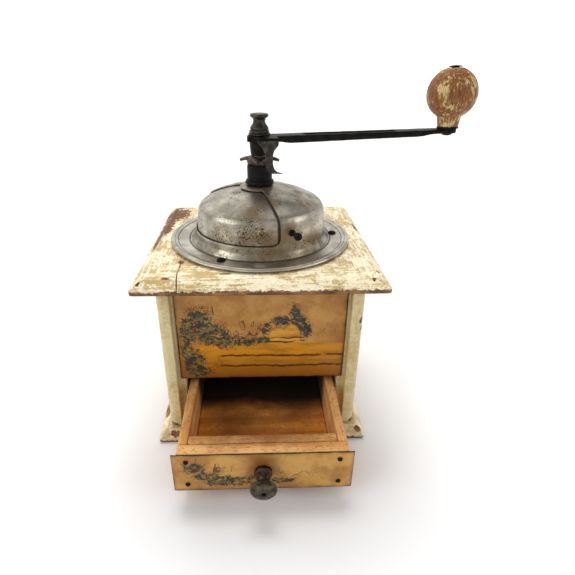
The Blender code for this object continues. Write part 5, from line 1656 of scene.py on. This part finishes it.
@dataclass
class Works:
    """The iron bridge with its collar, and the burrs, strap, spring and shaft under it.

    Attributes:
        width: The bridge's width.
        bar: Thickness of its crossbar.
        foot: Thickness of its feet.
        bush_wall: Thickness of the collar round its bush.
    """

    width: float = 10.0 * MM
    bar: float = 4.0 * MM
    foot: float = 3.0 * MM
    bush_wall: float = 1.6 * MM
    rise: float = 20.3 * MM
    shaft_hole: float = 4.3 * MM
    teeth: int = 14

    def build_bridge(self) -> None:
        """An arch of cast iron under the dome, whose collar stands out of the crown."""
        node = "bridge"
        space = Space.of(node)
        low, high = space.low.z, space.high.z
        top = low - AIR - 0.9 * MM - AIR + self.rise
        out = space.size.x / 2
        bolt = abs(Space.of("bridge_bolt_left").centre.x)
        inside = bolt - 2.9 * MM - AIR
        knee, leg = inside - 4.0 * MM, 3.8 * MM
        half = [(out - 0.3 * MM, low + 0.15 * MM), (out - 0.3 * MM, low + self.foot - 0.2 * MM),
                (inside, low + self.foot - 0.2 * MM), (knee, top - 0.2 * MM)]
        inner = [(knee - leg, top - self.bar), (inside - leg, low + 0.15 * MM)]
        outline = half + [(-x, z) for x, z in half[::-1]] + [(-x, z) for x, z in inner[::-1]] + inner
        width = self.width / 2 - 0.2 * MM
        arch = prism("arch", outline, -width, width, UPRIGHT)
        foot = top - self.bar - 4.0 * MM
        bore = COLLAR_RADIUS - self.bush_wall
        collar = turned("collar", filleted([
            (bore, foot), (COLLAR_RADIUS + 0.1 * MM, foot, 0.4 * MM),
            (COLLAR_RADIUS + 0.1 * MM, high, 0.5 * MM),
            (bore, high)]), 96)
        hub = turned("hub", [(0.0, foot + MM), (COLLAR_RADIUS * 0.9, foot + MM), (COLLAR_RADIUS * 0.9, top),
                             (0.0, top)])
        carve(arch, hub, 'UNION')
        bridge = fuse(fine(node), [arch, collar], 0.55 * MM, 3)
        carve(bridge, prism("bore", polygon(bore, 64), foot - MM, high + MM))
        for side in ("left", "right"):
            spot = Space.of("bridge_bolt_" + side).centre
            carve(bridge, prism("bolt_hole", polygon(2.3 * MM, 24), low - MM, low + self.foot + MM,
                                Matrix.Translation((*spot.xy, 0))))
        dress(bridge, IRON, node)
        bush = [(self.shaft_hole, foot), (bore - AIR, foot), (bore - AIR, high), (self.shaft_hole, high)]
        dress(turned(fine("bridge_bush"), bush, 64), BRASS, "bridge_bush")

    def build_collar_ring(self) -> None:
        """The ring that seals the crown to the collar."""
        node = "collar_ring"
        space = Space.of(node)
        outer, low, high = space.size.x / 2, space.low.z, space.high.z
        hole = COLLAR_RADIUS + AIR
        profile = filleted([(hole, low), (outer, low, 0.2 * MM), (outer - 0.1 * MM, low + 0.7 * MM, 0.5 * MM),
                            (hole + 0.5 * MM, high - 0.1 * MM, 0.3 * MM), (hole, high)], 5)
        dress(turned(fine(node), profile, 96), IRON, node)

    def build_bolts(self) -> None:
        """The bridge's two bolts and their hexagon nuts."""
        for side in ("left", "right"):
            node = "bridge_bolt_" + side
            space = Space.of(node)
            place = Matrix.Translation((*space.centre.xy, 0))
            low, high = space.low.z, space.high.z
            seat = high - 2.4 * MM
            profile = filleted([(0.0, low), (1.7 * MM, low, 0.2 * MM), (2.0 * MM, low + 0.4 * MM),
                                (2.0 * MM, seat),
                                (2.9 * MM, seat, 0.1 * MM), (2.9 * MM, seat + 1.4 * MM, 0.8 * MM),
                                (1.6 * MM, high - 0.05 * MM, 0.8 * MM), (0.0, high)])
            dress(turned(fine(node), profile, 40, place), STEEL, node)
            self.build_nut("bridge_nut_" + side, 2.3 * MM)
        self.build_nut("burr_nut", self.shaft_hole)

    def build_nut(self, node: str, bore: float) -> None:
        """A hexagon nut with turned corners."""
        space = Space.of(node)
        low, high = space.low.z, space.high.z
        radius = space.size.x / 2
        place = Matrix.Translation((*space.centre.xy, 0))
        nut = prism(fine(node), polygon(radius, 6), low, high, place)
        bevel = turned("corners", filleted([(0.0, low), (radius * 0.9, low),
                                            (radius + 0.02 * MM, low + 0.5 * MM),
                                            (radius + 0.02 * MM, high - 0.5 * MM), (radius * 0.9, high),
                                            (0.0, high)]),
                       72, place)
        carve(nut, bevel, 'INTERSECT')
        carve(nut, prism("bore", polygon(bore, 40, 4.0), low - MM, high + MM, place))
        soften(nut, 0.12 * MM, 1, 40.0)
        dress(nut, STEEL, node)

    def build_burrs(self) -> None:
        """The ring burr, the toothed cone that turns in it, and the strap below."""
        node = "ring_burr"
        space = Space.of(node)
        low, high = space.low.z, space.high.z
        flange = space.size.x / 2
        cone = Space.of("inner_burr")
        narrow = cone.size.x / 2 + 0.2 * MM
        throat = low + 12.0 * MM
        shoulder = abs(Space.of("bridge_bolt_left").centre.x) - 3.6 * MM - AIR
        profile = filleted([
            (shoulder - 2.3 * MM, high), (narrow + 3.6 * MM, throat + 4.5 * MM, 4 * MM), (narrow, throat, MM),
            (narrow + 2.1 * MM, low, 0.3 * MM), (19.0 * MM, low, 0.6 * MM),
            (20.0 * MM, throat + 4 * MM, 5 * MM),
            (shoulder, high - 2.5 * MM, 1.5 * MM), (flange, high - 2.5 * MM, 0.5 * MM),
            (flange, high, 0.4 * MM)])

        def grooves(radius: float, height: float, angle: float) -> float:
            """Cut the teeth in the bore."""
            if radius > shoulder - 3.0 * MM or not low < height < throat + 5 * MM or radius > 18 * MM:
                return 1.0
            return 1.0 + 0.02 * (1 + math.cos(2 * self.teeth * angle + height * 500))

        burr = turned(fine(node), profile, 224, None, grooves)
        for side in ("left", "right"):
            spot = Space.of("bridge_bolt_" + side).centre
            carve(burr, prism("bolt_hole", polygon(2.3 * MM, 24), high - 4 * MM, high + MM,
                              Matrix.Translation((*spot.xy, 0))))
        dress(burr, IRON, node)

        node = "inner_burr"
        wide, tall = cone.size.x / 2, cone.size.z
        bore = self.shaft_hole
        points = [(bore, cone.low.z), (wide * 0.96, cone.low.z)]
        for step in range(13):
            share = step / 12
            points.append((wide + (6.5 * MM - wide) * share, cone.low.z + 0.5 * MM + (tall - MM) * share))
        points += [(6.0 * MM, cone.high.z), (bore, cone.high.z)]

        def tooth(radius: float, height: float, angle: float) -> float:
            """Cut the slanting teeth in the cone."""
            if radius < 6.2 * MM:
                return 1.0
            turn = self.teeth * (angle + (height - cone.low.z) * 28)
            return 1.0 - 0.055 * (1 - abs(math.sin(turn / 2))) ** 1.5

        dress(turned(fine(node), points, 280, None, tooth), IRON, node)
        self.build_strap()
        self.build_spring()

    def build_strap(self) -> None:
        """The strap that carries the shaft's lower pin."""
        node = "lower_bearing_strap"
        space = Space.of(node)
        out, top, low = space.size.x / 2, space.high.z, space.low.z
        leg = out - 2.7 * MM
        outline = [(-out, top), (-out, low), (out, low), (out, top), (leg, top), (leg, low + 2.5 * MM),
                   (-leg, low + 2.5 * MM), (-leg, top)]
        strap = prism(fine(node), outline, -space.size.y / 2, space.size.y / 2, UPRIGHT)
        carve(strap, prism("pin_hole", polygon(2.8 * MM, 32), low - MM, low + 4 * MM))
        soften(strap, 0.45 * MM, 3, 40.0)
        dress(strap, IRON, node)

    def build_spring(self) -> None:
        """The spring above the inner burr, wound from round wire."""
        node = "burr_spring"
        space = Space.of(node)
        wire = 0.7 * MM
        coil = space.size.x / 2 - wire
        turns, per_turn, sides = 5, 32, 12
        low, high = space.low.z + wire * 1.05, space.high.z - wire * 1.05
        shape = bmesh.new()
        rings = []
        for step in range(turns * per_turn + 1):
            angle = math.tau * step / per_turn
            out = Vector((math.cos(angle), math.sin(angle), 0.0))
            middle = out * coil + Vector((0, 0, low + (high - low) * step / (turns * per_turn)))
            ring = []
            for side in range(sides):
                turn = math.tau * side / sides
                skin = (out * math.cos(turn) + Vector((0, 0, math.sin(turn)))) * wire * 0.98
                ring.append(shape.verts.new(middle + skin))
            rings.append(ring)
        join_rings(shape, rings, closed=False)
        shape.faces.new(rings[0])
        shape.faces.new(rings[-1])
        dress(new_object(fine(node), shape), STEEL, node)

    def build_shaft(self) -> None:
        """The shaft: pin, round bearing, square for the crank and threaded end."""
        node = "main_shaft"
        space = Space.of(node)
        hub = Space.of("crank_arm")
        square_low = Space.of("star_adjuster").high.z + AIR
        square_high = Space.of("hub_washer").low.z - 2 * AIR
        pin_high = Space.of("burr_nut").low.z
        low, high = space.low.z, space.high.z
        profile = filleted([
            (0.0, low), (2.2 * MM, low, 0.3 * MM), (2.5 * MM, low + 0.6 * MM), (2.5 * MM, pin_high),
            (4.0 * MM, pin_high),
            (4.0 * MM, square_low), (3.2 * MM, square_low), (3.2 * MM, square_high), (2.8 * MM, square_high)])
        pitch = 0.8 * MM
        count = int((high - square_high) / pitch)
        for step in range(count):
            base = square_high + 0.1 * MM + pitch * step
            profile += [(2.45 * MM, base + pitch * 0.25), (2.8 * MM, base + pitch * 0.75)]
        profile += [(2.3 * MM, high), (0.0, high)]

        def squared(radius: float, height: float, angle: float) -> float:
            """Turn the round shank square."""
            if abs(radius - 3.2 * MM) > 1e-6:
                return 1.0
            return 1.0 / max(abs(math.cos(angle)), abs(math.sin(angle)))

        dress(turned(fine(node), profile, 64, None, squared), STEEL, node)
        LOG.info("crank hub is %.1f mm deep", (hub.high.z - hub.low.z) / MM)

    def build(self) -> None:
        """Build everything that the dome covers and the mill's burrs."""
        self.build_bridge()
        self.build_collar_ring()
        self.build_bolts()
        self.build_burrs()
        self.build_shaft()


# ---------------------------------------------------------------- adjuster, crank and handle

@dataclass
class Adjuster:
    """The star nut that sets the grind and the spring leaf that holds it.

    Attributes:
        tip: Reach of its lobes.
        root: Radius between them.
        lobes: How many there are.
        turn: How far the star is turned, in degrees.
        droop: How far the lobes' tips hang.
    """

    tip: float = 12.0 * MM
    root: float = 7.6 * MM
    lobes: int = 4
    turn: float = -5.0
    droop: float = 1.7 * MM

    def build_star(self) -> None:
        """A cast star whose round lobes bend down."""
        node = "star_adjuster"
        space = Space.of(node)
        low, high = space.low.z, space.high.z
        parts = [turned("star_hub", filleted([
            (3.6 * MM, low + 0.2 * MM), (self.root, low + 0.2 * MM, 0.6 * MM),
            (self.root, high - 0.8 * MM, 1.2 * MM),
            (5.0 * MM, high - 0.1 * MM, 0.5 * MM), (3.6 * MM, high - 0.1 * MM)]), 72)]
        for number in range(self.lobes):
            angle = math.radians(self.turn + 360.0 * number / self.lobes)
            shape = bmesh.new()
            rings = []
            steps = 10
            for step in range(steps + 1):
                share = step / steps
                reach = 2.0 * MM + (self.tip - 2.05 * MM) * share
                half = 3.9 * MM * (1 - 0.35 * share) * math.sqrt(max(0.02,
                                                                     1 - (max(0.0,
                                                                              share - 0.62) / 0.385) ** 2))
                fall = self.droop * max(0.0, share - 0.35) ** 1.6 * 1.9
                thick = 2.5 * MM * (1 - 0.25 * share)
                up = high - 0.25 * MM - fall
                ring = []
                for side in range(12):
                    turn = math.tau * side / 12
                    y, z = math.cos(turn) * half, up - thick / 2 + math.sin(turn) * thick / 2
                    ring.append(shape.verts.new((reach * math.cos(angle) - y * math.sin(angle),
                                                 reach * math.sin(angle) + y * math.cos(angle),
                                                 max(z, low + 0.1 * MM))))
                rings.append(ring)
            join_rings(shape, rings, closed=False)
            shape.faces.new(rings[0])
            shape.faces.new(rings[-1])
            parts.append(new_object("lobe", shape))
        star = fuse(fine(node), parts, 0.34 * MM, 4)
        carve(star, prism("bore", polygon(4.3 * MM, 48), low - MM, high + MM))
        dress(star, RUSTY_IRON, node)

    def build_leaf(self) -> None:
        """The spring leaf: broad at the hub, narrow beside the star, with a curled tab."""
        node = "catch_leaf"
        space = Space.of(node)
        left, right, low, top = space.low.x, space.high.x, space.low.z, space.high.z
        back, thick = space.high.y, space.size.y
        body_right = right - 2.9 * MM
        neck_left, neck_right = left + 4.5 * MM, body_right - 3.4 * MM
        outline = filleted([
            (left + 0.2 * MM, top), (left + 0.4 * MM, top - 1.2 * MM, 0.6 * MM),
            (left + 2.9 * MM, top - 3.8 * MM, 3 * MM),
            (neck_left, top - 7.6 * MM, 4 * MM), (neck_left + 0.2 * MM, low + 5.0 * MM, 4 * MM),
            (neck_left + 1.0 * MM, low + 2.2 * MM, 2 * MM), (neck_left + 2.6 * MM, low + 0.3 * MM, 1.5 * MM),
            (right - 1.5 * MM, low + 0.2 * MM, 0.4 * MM), (right, low + 0.35 * MM, 0.15 * MM),
            (right - 1.2 * MM, low + 0.75 * MM, 0.4 * MM), (body_right - 0.8 * MM, low + 1.3 * MM, 0.8 * MM),
            (neck_right + 0.9 * MM, low + 3.0 * MM, 1.5 * MM), (neck_right, low + 5.7 * MM, 3 * MM),
            (neck_right, top - 8.1 * MM, 3 * MM), (neck_right + 0.7 * MM, top - 5.4 * MM, 3 * MM),
            (body_right - 0.3 * MM, top - 2.6 * MM, 1.5 * MM), (body_right, top, 0.3 * MM)], 4)
        leaf = prism("leaf_blank", outline, -back + 0.1 * MM, -back + thick - 0.1 * MM, UPRIGHT)
        leaf = fuse(fine(node), [leaf], 0.24 * MM, 3)
        for vertex in leaf.data.vertices:
            vertex.co = space.hold(vertex.co)
        dress(leaf, LEAF_STEEL, node)

    def build(self) -> None:
        """Build the star and its catch."""
        self.build_star()
        self.build_leaf()


@dataclass
class Crank:
    """The cast crank with its hub, washer and spool nut.

    Attributes:
        reach: From the shaft to the handle's axis.
        rise: How steeply the arm climbs, in degrees.
        hub_half: Half the arm's width at the hub.
        end_half: The same at the eye.
        channel: Where the groove on the arm starts and ends.
    """

    reach: float = 111.3 * MM
    rise: float = 2.0
    hub_half: float = 5.6 * MM
    end_half: float = 4.4 * MM
    hub_thick: float = 3.5 * MM
    end_thick: float = 2.3 * MM
    eye: float = 5.2 * MM
    channel: Point = (24.0 * MM, 83.0 * MM)
    hub_radius: float = 7.2 * MM

    def height(self, x: float, top: float) -> float:
        """Height of the arm's upper face."""
        return top + math.tan(math.radians(self.rise)) * max(0.0, x - self.hub_radius)

    def build_arm(self) -> None:
        """The hub, its boss, the lug for the leaf and the grooved arm, cast in one."""
        node = "crank_arm"
        space = Space.of(node)
        low = space.low.z
        top = Space.of("hub_washer").low.z - AIR
        shape = bmesh.new()
        rings = []
        for x in [1 * MM * k for k in range(0, 111, 2)] + [self.reach]:
            share = x / self.reach
            half = self.hub_half + (self.end_half - self.hub_half) * share
            thick = self.hub_thick + (self.end_thick - self.hub_thick) * share
            thick += (1.0 * MM * eased((x - 0.1 * self.reach) / (8 * MM))
                      * eased((self.reach - 9 * MM - x) / (8 * MM)))
            high = self.height(x, top)
            groove = (0.9 * MM * eased((x - self.channel[0]) / (4 * MM))
                      * eased((self.channel[1] - x) / (4 * MM)))
            floor = half - 1.7 * MM
            section = [(-half, high - thick), (half, high - thick), (half, high), (floor + 0.3 * MM, high),
                       (floor, high - groove), (-floor, high - groove), (-floor - 0.3 * MM, high),
                       (-half, high)]
            rings.append([shape.verts.new((x, y, z)) for y, z in section])
        join_rings(shape, rings, closed=False)
        shape.faces.new(rings[0])
        shape.faces.new(rings[-1])
        arm = new_object("arm", shape)
        end = self.height(self.reach, top)
        eye = turned("eye", [(0.0, end - self.end_thick), (self.eye, end - self.end_thick), (self.eye, end),
                             (0.0, end)],
                     64, Matrix.Translation((self.reach, 0, 0)))
        boss = turned("boss", filleted([
            (0.0, low + 0.1 * MM), (5.2 * MM, low + 0.1 * MM, 0.5 * MM), (5.6 * MM, low + 4 * MM, 3 * MM),
            (5.9 * MM, top - 3.8 * MM, 2 * MM), (self.hub_radius, top - 3.0 * MM, 0.6 * MM),
            (self.hub_radius, top, 0.4 * MM),
            (0.0, top)]), 72)
        leaf = Space.of("catch_leaf")
        lug_space = Space(Vector((leaf.low.x + 0.2 * MM, -11.95 * MM, top - 3.4 * MM)),
                          Vector((leaf.high.x - 3.1 * MM, -1.0 * MM, top - 0.05 * MM)))
        lug = board("lug", lug_space, 0.6 * MM, 4 * MM, 0.0)
        ear = turned("ear", filleted([(0.0, top - 3.3 * MM), (2.6 * MM, top - 3.3 * MM, 0.8 * MM),
                                      (2.6 * MM, top - 0.05 * MM, 0.8 * MM), (0.0, top - 0.05 * MM)]), 32,
                     Matrix.Translation((-5.4 * MM, -3.4 * MM, 0)))
        carve(arm, eye, 'UNION')
        crank = fuse(fine(node), [arm, boss, lug, ear], 0.5 * MM, 3)
        hole = [(-3.5 * MM, -3.5 * MM), (3.5 * MM, -3.5 * MM), (3.5 * MM, 3.5 * MM), (-3.5 * MM, 3.5 * MM)]
        carve(crank, prism("square", hole, low - MM, top + MM))
        pin = Matrix.Translation((self.reach, 0, end)) @ Matrix.Rotation(math.radians(-self.rise), 4, 'Y')
        carve(crank, prism("pin_hole", polygon(2.3 * MM, 32), -5 * MM, 3 * MM, pin))
        for vertex in crank.data.vertices:
            vertex.co = space.hold(vertex.co)
        dress(crank, IRON, node)

    def build_washer(self) -> None:
        """The washer under the spool nut."""
        node = "hub_washer"
        space = Space.of(node)
        outer, low, high = space.size.x / 2, space.low.z, space.high.z
        profile = filleted([(3.1 * MM, low), (outer, low, 0.25 * MM), (outer, high, 0.25 * MM),
                            (3.1 * MM, high, 0.1 * MM),
                            (3.1 * MM, low + 0.1 * MM)])
        dress(turned(fine(node), profile[:-1], 72), LEAF_STEEL, node)

    def build_spool(self) -> None:
        """The waisted thumb nut: a knurled-looking worn rim, a neck and a grooved foot."""
        node = "spool_nut"
        space = Space.of(node)
        low, high = space.low.z, space.high.z
        base, neck, top = 5.9 * MM, 3.45 * MM, 5.5 * MM
        bore, roof = 3.1 * MM, high - 2.0 * MM
        profile = [(0.0, roof), (bore, roof), (bore, low)] + filleted([
            (bore + 0.01 * MM, low), (base, low, 0.3 * MM), (base, low + 1.35 * MM, 0.35 * MM),
            (base - 1.0 * MM, low + 1.75 * MM, 0.25 * MM), (base - 0.3 * MM, low + 2.3 * MM, 0.4 * MM),
            (base - 0.7 * MM, low + 3.2 * MM, 1.0 * MM), (neck + 0.35 * MM, low + 5.1 * MM, 2.2 * MM),
            (neck, low + 6.5 * MM, 2 * MM), (neck + 0.5 * MM, low + 7.9 * MM, 1.5 * MM),
            (top - 0.1 * MM, high - 1.7 * MM, 0.7 * MM), (top, high - 0.9 * MM, 0.5 * MM),
            (top - 0.5 * MM, high - 0.1 * MM, 0.5 * MM), (top - 1.4 * MM, high - 0.05 * MM, 0.4 * MM),
            (top - 2.2 * MM, high - 0.3 * MM, 0.6 * MM), (0.0, high - 0.25 * MM)], 5)
        dress(turned(fine(node), profile, 80), SPOOL_STEEL, node)

    def build(self) -> None:
        """Build the crank, its washer and its nut."""
        self.build_arm()
        self.build_washer()
        self.build_spool()


@dataclass
class Handle:
    """The wooden ball that turns on a pin at the end of the arm.

    Attributes:
        ball: The ball's radius.
        neck: Radius of the neck at its foot.
        neck_height: Height of the neck.
    """

    ball: float = 14.1 * MM
    neck: float = 5.9 * MM
    neck_height: float = 5.5 * MM
    place: Matrix = field(init=False)

    def __post_init__(self) -> None:
        """Stand the handle's axis on its joint."""
        joint = next(j for j in frame["joints"] if j["name"] == "handle_spin")
        turn = Vector((0, 0, 1)).rotation_difference(Vector(joint["axis"])).to_matrix().to_4x4()
        self.place = Matrix.Translation(joint["pos_m"]) @ turn

    def build(self) -> None:
        """Build the washer, the ball and the pin."""
        low = AIR
        washer = filleted([(2.3 * MM, low), (6.1 * MM, low, 0.2 * MM), (6.1 * MM, low + 0.8 * MM, 0.25 * MM),
                           (2.3 * MM, low + 0.8 * MM)])
        dress(turned(fine("handle_washer"), washer, 64, self.place), IRON, "handle_washer")

        neck_low = 2 * AIR + 0.8 * MM
        neck_high = neck_low + self.neck_height
        neck_top = self.neck + 1.0 * MM
        seat = 4.2 * MM
        centre = neck_high + math.sqrt(self.ball ** 2 - neck_top ** 2)
        first = -math.degrees(math.acos(neck_top / self.ball))
        last = math.degrees(math.acos(seat / self.ball))
        skin = arc((0.0, centre), self.ball - 0.05 * MM, first, last, 40)
        cap = skin[-1][1]
        profile = filleted([(2.3 * MM, neck_low), (self.neck, neck_low, 0.5 * MM),
                            (self.neck + 0.15 * MM, neck_low + 1.8 * MM, 1.5 * MM),
                            (self.neck + 0.55 * MM, neck_low + 4.0 * MM, 2 * MM), skin[0]], 5) + skin[1:]
        profile += filleted([(skin[-1][0] - 0.01 * MM, cap), (2.3 * MM, cap - 0.1 * MM)])

        def worn(radius: float, height: float, angle: float) -> float:
            """Shallow hand-worn hollows."""
            spot = Vector((radius * math.cos(angle), radius * math.sin(angle), height))
            return 1.0 - 0.008 * abs(noise.noise(spot * per_metre(8)))

        dress(turned(fine("ball_handle"), profile, 112, self.place, worn), BALL_PAINT, "ball_handle")

        tail = -2.3 * MM - AIR
        pin = filleted([(0.0, tail - 1.0 * MM), (2.4 * MM, tail - 1.0 * MM, 0.5 * MM),
                        (3.2 * MM, tail, 0.15 * MM),
                        (2.0 * MM, tail, 0.1 * MM), (2.0 * MM, cap + AIR, 0.05 * MM),
                        (3.9 * MM, cap + AIR, 0.15 * MM),
                        (3.6 * MM, cap + 0.95 * MM, 0.5 * MM), (0.0, cap + 1.35 * MM)], 5)
        dress(turned(fine("handle_pin"), pin, 56, self.place), IRON, "handle_pin")


# ---------------------------------------------------------------- shared finishes

# The dome's marks are partly tarnish and partly a painted dark reflection on the front of the wall and on the
# crown.
NICKEL = WornMetal("nickel_plate_pressed_and_tarnished", "dull_nickel", base="9A9484", bright="C2BCAC",
                   stain="735D38",
                   stained=0.5, cloud=14.0, rough=(0.34, 0.52), grit=(0.9, 0.02), pits=(0.9, 0.42),
                   lathe=0.12,
                   marks=(Mark((15, -38, 127), (8, 10, 9)), Mark((6, -40, 119), (16, 12, 5)),
                          Mark((30, -28, 123), (8, 9, 4)),
                          Mark((0, -9, 149), (11, 8, 3))))
# The door's marks are partly tarnish and partly a painted dark reflection on its front; it also carries a
# painted shadow along the window's edge.
DOOR_NICKEL = DoorMetal("nickel_plate_pressed_and_rubbed", "dull_nickel", base="A09A8B", bright="C8C2B3",
                        stain="6E5630", stained=0.42, cloud=17.0, rough=(0.34, 0.52), grit=(0.9, 0.02),
                        pits=(0.85, 0.46), lathe=0.15,
                        marks=(Mark((0, -39, 126), (14, 12, 9)), Mark((-4, -36, 140), (8, 10, 5))))
RING_NICKEL = WornMetal("nickel_plate_spun_and_worn", "dull_nickel", base="ADA799", bright="D2CDC0",
                        stain="857A65",
                        stained=0.35, cloud=14.0, rough=(0.32, 0.50), grit=(0.7, 0.02), pits=(0.8, 0.3),
                        lathe=0.35,
                        creases=((45.0, 0.8), (52.2, 0.35), (54.2, 0.2)))
IRON = WornMetal("cast_iron_sand_cast_and_blackened", "cast_iron", base="0A0907", bright="1C1A17",
                 stain="1F130C",
                 stained=0.3, cloud=7.0, rough=(0.45, 0.70), grit=(0.7, 0.07), pits=(0.9, 0.2), lathe=0.0,
                 metallic=0.15,
                 gloss=0.12)
RUSTY_IRON = WornMetal("cast_iron_sand_cast_and_rusted", "cast_iron", base="231E19", bright="5E564B",
                       stain="35251A",
                       stained=0.5, cloud=4.0, rough=(0.42, 0.66), grit=(0.6, 0.07), pits=(0.8, 0.2),
                       lathe=0.0,
                       metallic=0.4, gloss=0.3)
STEEL = WornMetal("steel_turned_and_aged", "aged_steel", base="6B6558", bright="8F8B80", stain="4A3A28",
                  stained=0.4,
                  cloud=6.0, rough=(0.32, 0.55), pits=(0.6, 0.25), lathe=0.4)
SPOOL_STEEL = WornMetal("steel_turned_and_browned", "aged_steel", base="2B2721", bright="4E493E",
                        stain="211A14",
                        stained=0.4, cloud=5.0, rough=(0.34, 0.56), grit=(0.6, 0.04), pits=(0.7, 0.25),
                        lathe=0.3,
                        metallic=0.5, gloss=0.35)
LEAF_STEEL = WornMetal("steel_rolled_and_blued", "aged_steel", base="24211D", bright="4C4841", stain="1D1814",
                       stained=0.4, cloud=4.0, rough=(0.34, 0.56), grit=(0.6, 0.03), pits=(0.7, 0.2),
                       lathe=0.0,
                       metallic=0.5, gloss=0.35)
BRASS = WornMetal("brass_drawn_and_dulled", "bearing_brass", base="857A5E", bright="A89D80", stain="584A30",
                  stained=0.4, cloud=4.0, rough=(0.32, 0.5), pits=(0.5, 0.2), lathe=0.2)
RIVET = WornMetal("brass_pressed_and_browned", "bearing_brass", base="6E6246", bright="A2956F",
                  stain="3E3220",
                  stained=0.45, cloud=3.0, rough=(0.35, 0.55), pits=(0.5, 0.3), lathe=0.0)
BALL_PAINT = RubbedKnobPaint("enamel_rubbed_through_on_beech", "worn_knob_paint")


# ---------------------------------------------------------------- studio

@dataclass
class Studio:
    """A pale floor, soft light and the camera.

    Attributes:
        eye: Where the camera stands, in metres.
        yaw: How far it looks to the right of +Y, in degrees.
        pitch: How far it looks down.
        roll: How far it leans.
        lens: Focal length on a 36 mm wide sensor.
        shift: Sensor shift across and up, as shares of the frame.
        dim_side: The direction in which the room is dimmest.
        room: Where between its bright and dim side the room has which brightness.
        lamps: Each lamp's name, direction, spread in degrees and strength.
    """

    eye: tuple[float, float, float] = (-0.00164, -0.2750, 0.21835)
    yaw: float = 2.060
    pitch: float = 26.876
    roll: float = 0.304
    lens: float = 28.08
    shift: Point = (0.0260, -0.0070)
    dim_side: tuple[float, float, float] = (0.0, -0.40, 0.30)
    room: tuple[Point, Point] = ((0.15, 1.0), (0.72, 0.25))
    lamps: tuple[tuple[str, tuple[float, float, float], float, float], ...] = (
        ("key_lamp", (-0.04, 0.50, 0.86), 40.0, 2.3), ("back_lamp", (-0.25, 0.45, 0.85), 75.0, 0.6),
        ("left_lamp", (-0.80, -0.35, 0.45), 40.0, 1.1),
        ("right_lamp", (0.85, -0.25, 0.42), 40.0, 0.7), ("front_lamp", (0.0, -0.85, 0.55), 60.0, 0.3))

    def build_camera(self) -> None:
        """Place the camera and make it the scene's own."""
        yaw, pitch, roll = (math.radians(v) for v in (self.yaw, self.pitch, self.roll))
        look = Vector((math.sin(yaw) * math.cos(pitch), math.cos(yaw) * math.cos(pitch), -math.sin(pitch)))
        right = Vector((math.cos(yaw), -math.sin(yaw), 0.0))
        up = right.cross(look)
        side = right * math.cos(roll) + up * math.sin(roll)
        head = up * math.cos(roll) - right * math.sin(roll)
        data = bpy.data.cameras.new("camera")
        data.lens, data.sensor_width = self.lens, 36.0
        data.shift_x, data.shift_y = self.shift
        data.clip_start, data.clip_end = 0.01, 20.0
        camera = bpy.data.objects.new("camera", data)
        bpy.context.collection.objects.link(camera)
        turn = Matrix((side, head, -look)).transposed().to_4x4()
        camera.matrix_world = Matrix.Translation(self.eye) @ turn
        bpy.context.scene.camera = camera

    def build_floor(self) -> None:
        """A wide matt floor, nearly white."""
        shape = bmesh.new()
        bmesh.ops.create_grid(shape, x_segments=8, y_segments=8, size=3.0)
        floor = new_object("studio_floor", shape)
        floor.location.z = -0.1 * MM
        recipe = Recipe("paper_matt_white")
        tooth = recipe.noise(2.0)
        recipe.finish((0.80, 0.80, 0.805, 1.0), 0.9, tooth, 0.01)
        floor.data.materials.append(recipe.material)

    def build_light(self) -> None:
        """A white room that is dimmer overhead and behind the camera, with two broad lamps."""
        world = bpy.data.worlds.new("studio_room")
        world.use_nodes = True
        tree = world.node_tree
        sky = tree.nodes["Background"]
        place = tree.nodes.new("ShaderNodeTexCoord")
        lean = tree.nodes.new("ShaderNodeVectorMath")
        shift = tree.nodes.new("ShaderNodeMath")
        ramp = tree.nodes.new("ShaderNodeValToRGB")
        path = tree.nodes.new("ShaderNodeLightPath")
        paper = tree.nodes.new("ShaderNodeMath")
        lean.operation = 'DOT_PRODUCT'
        lean.inputs[1].default_value = self.dim_side
        shift.inputs[1].default_value = 0.5
        paper.operation = 'ADD'
        tree.links.new(place.outputs["Generated"], lean.inputs[0])
        tree.links.new(lean.outputs["Value"], shift.inputs[0])
        tree.links.new(shift.outputs[0], ramp.inputs[0])
        tree.links.new(ramp.outputs[0], paper.inputs[0])
        tree.links.new(path.outputs["Is Camera Ray"], paper.inputs[1])
        tree.links.new(paper.outputs[0], sky.inputs["Strength"])
        for stop, (where, level) in zip(ramp.color_ramp.elements, self.room):
            stop.position, stop.color = where, (level, level, level, 1.0)
        sky.inputs["Color"].default_value = (1.0, 0.99, 0.975, 1.0)
        bpy.context.scene.world = world
        for name, aim, spread, strength in self.lamps:
            data = bpy.data.lights.new(name, 'SUN')
            data.angle, data.energy = math.radians(spread), strength
            lamp = bpy.data.objects.new(name, data)
            lamp.location = (*aim[:2], 1.0)
            lamp.rotation_euler = Vector(aim).to_track_quat('Z', 'Y').to_euler()
            lamp.visible_glossy = name != "key_lamp"
            bpy.context.collection.objects.link(lamp)

    def build(self) -> None:
        """Set up the studio."""
        scene = bpy.context.scene
        scene.view_settings.view_transform = 'Standard'
        self.build_camera()
        self.build_floor()
        self.build_light()


def main() -> None:
    """Build the studio and every sub-assembly, and report each piece."""
    logging.basicConfig(level=logging.INFO, format="%(message)s")
    for part in (Studio(), Case(), Drawer(), Hopper(), Works(), Adjuster(), Crank(), Handle()):
        LOG.info("building the %s", type(part).__name__.lower())
        part.build()


if __name__ == "__main__":
    main()
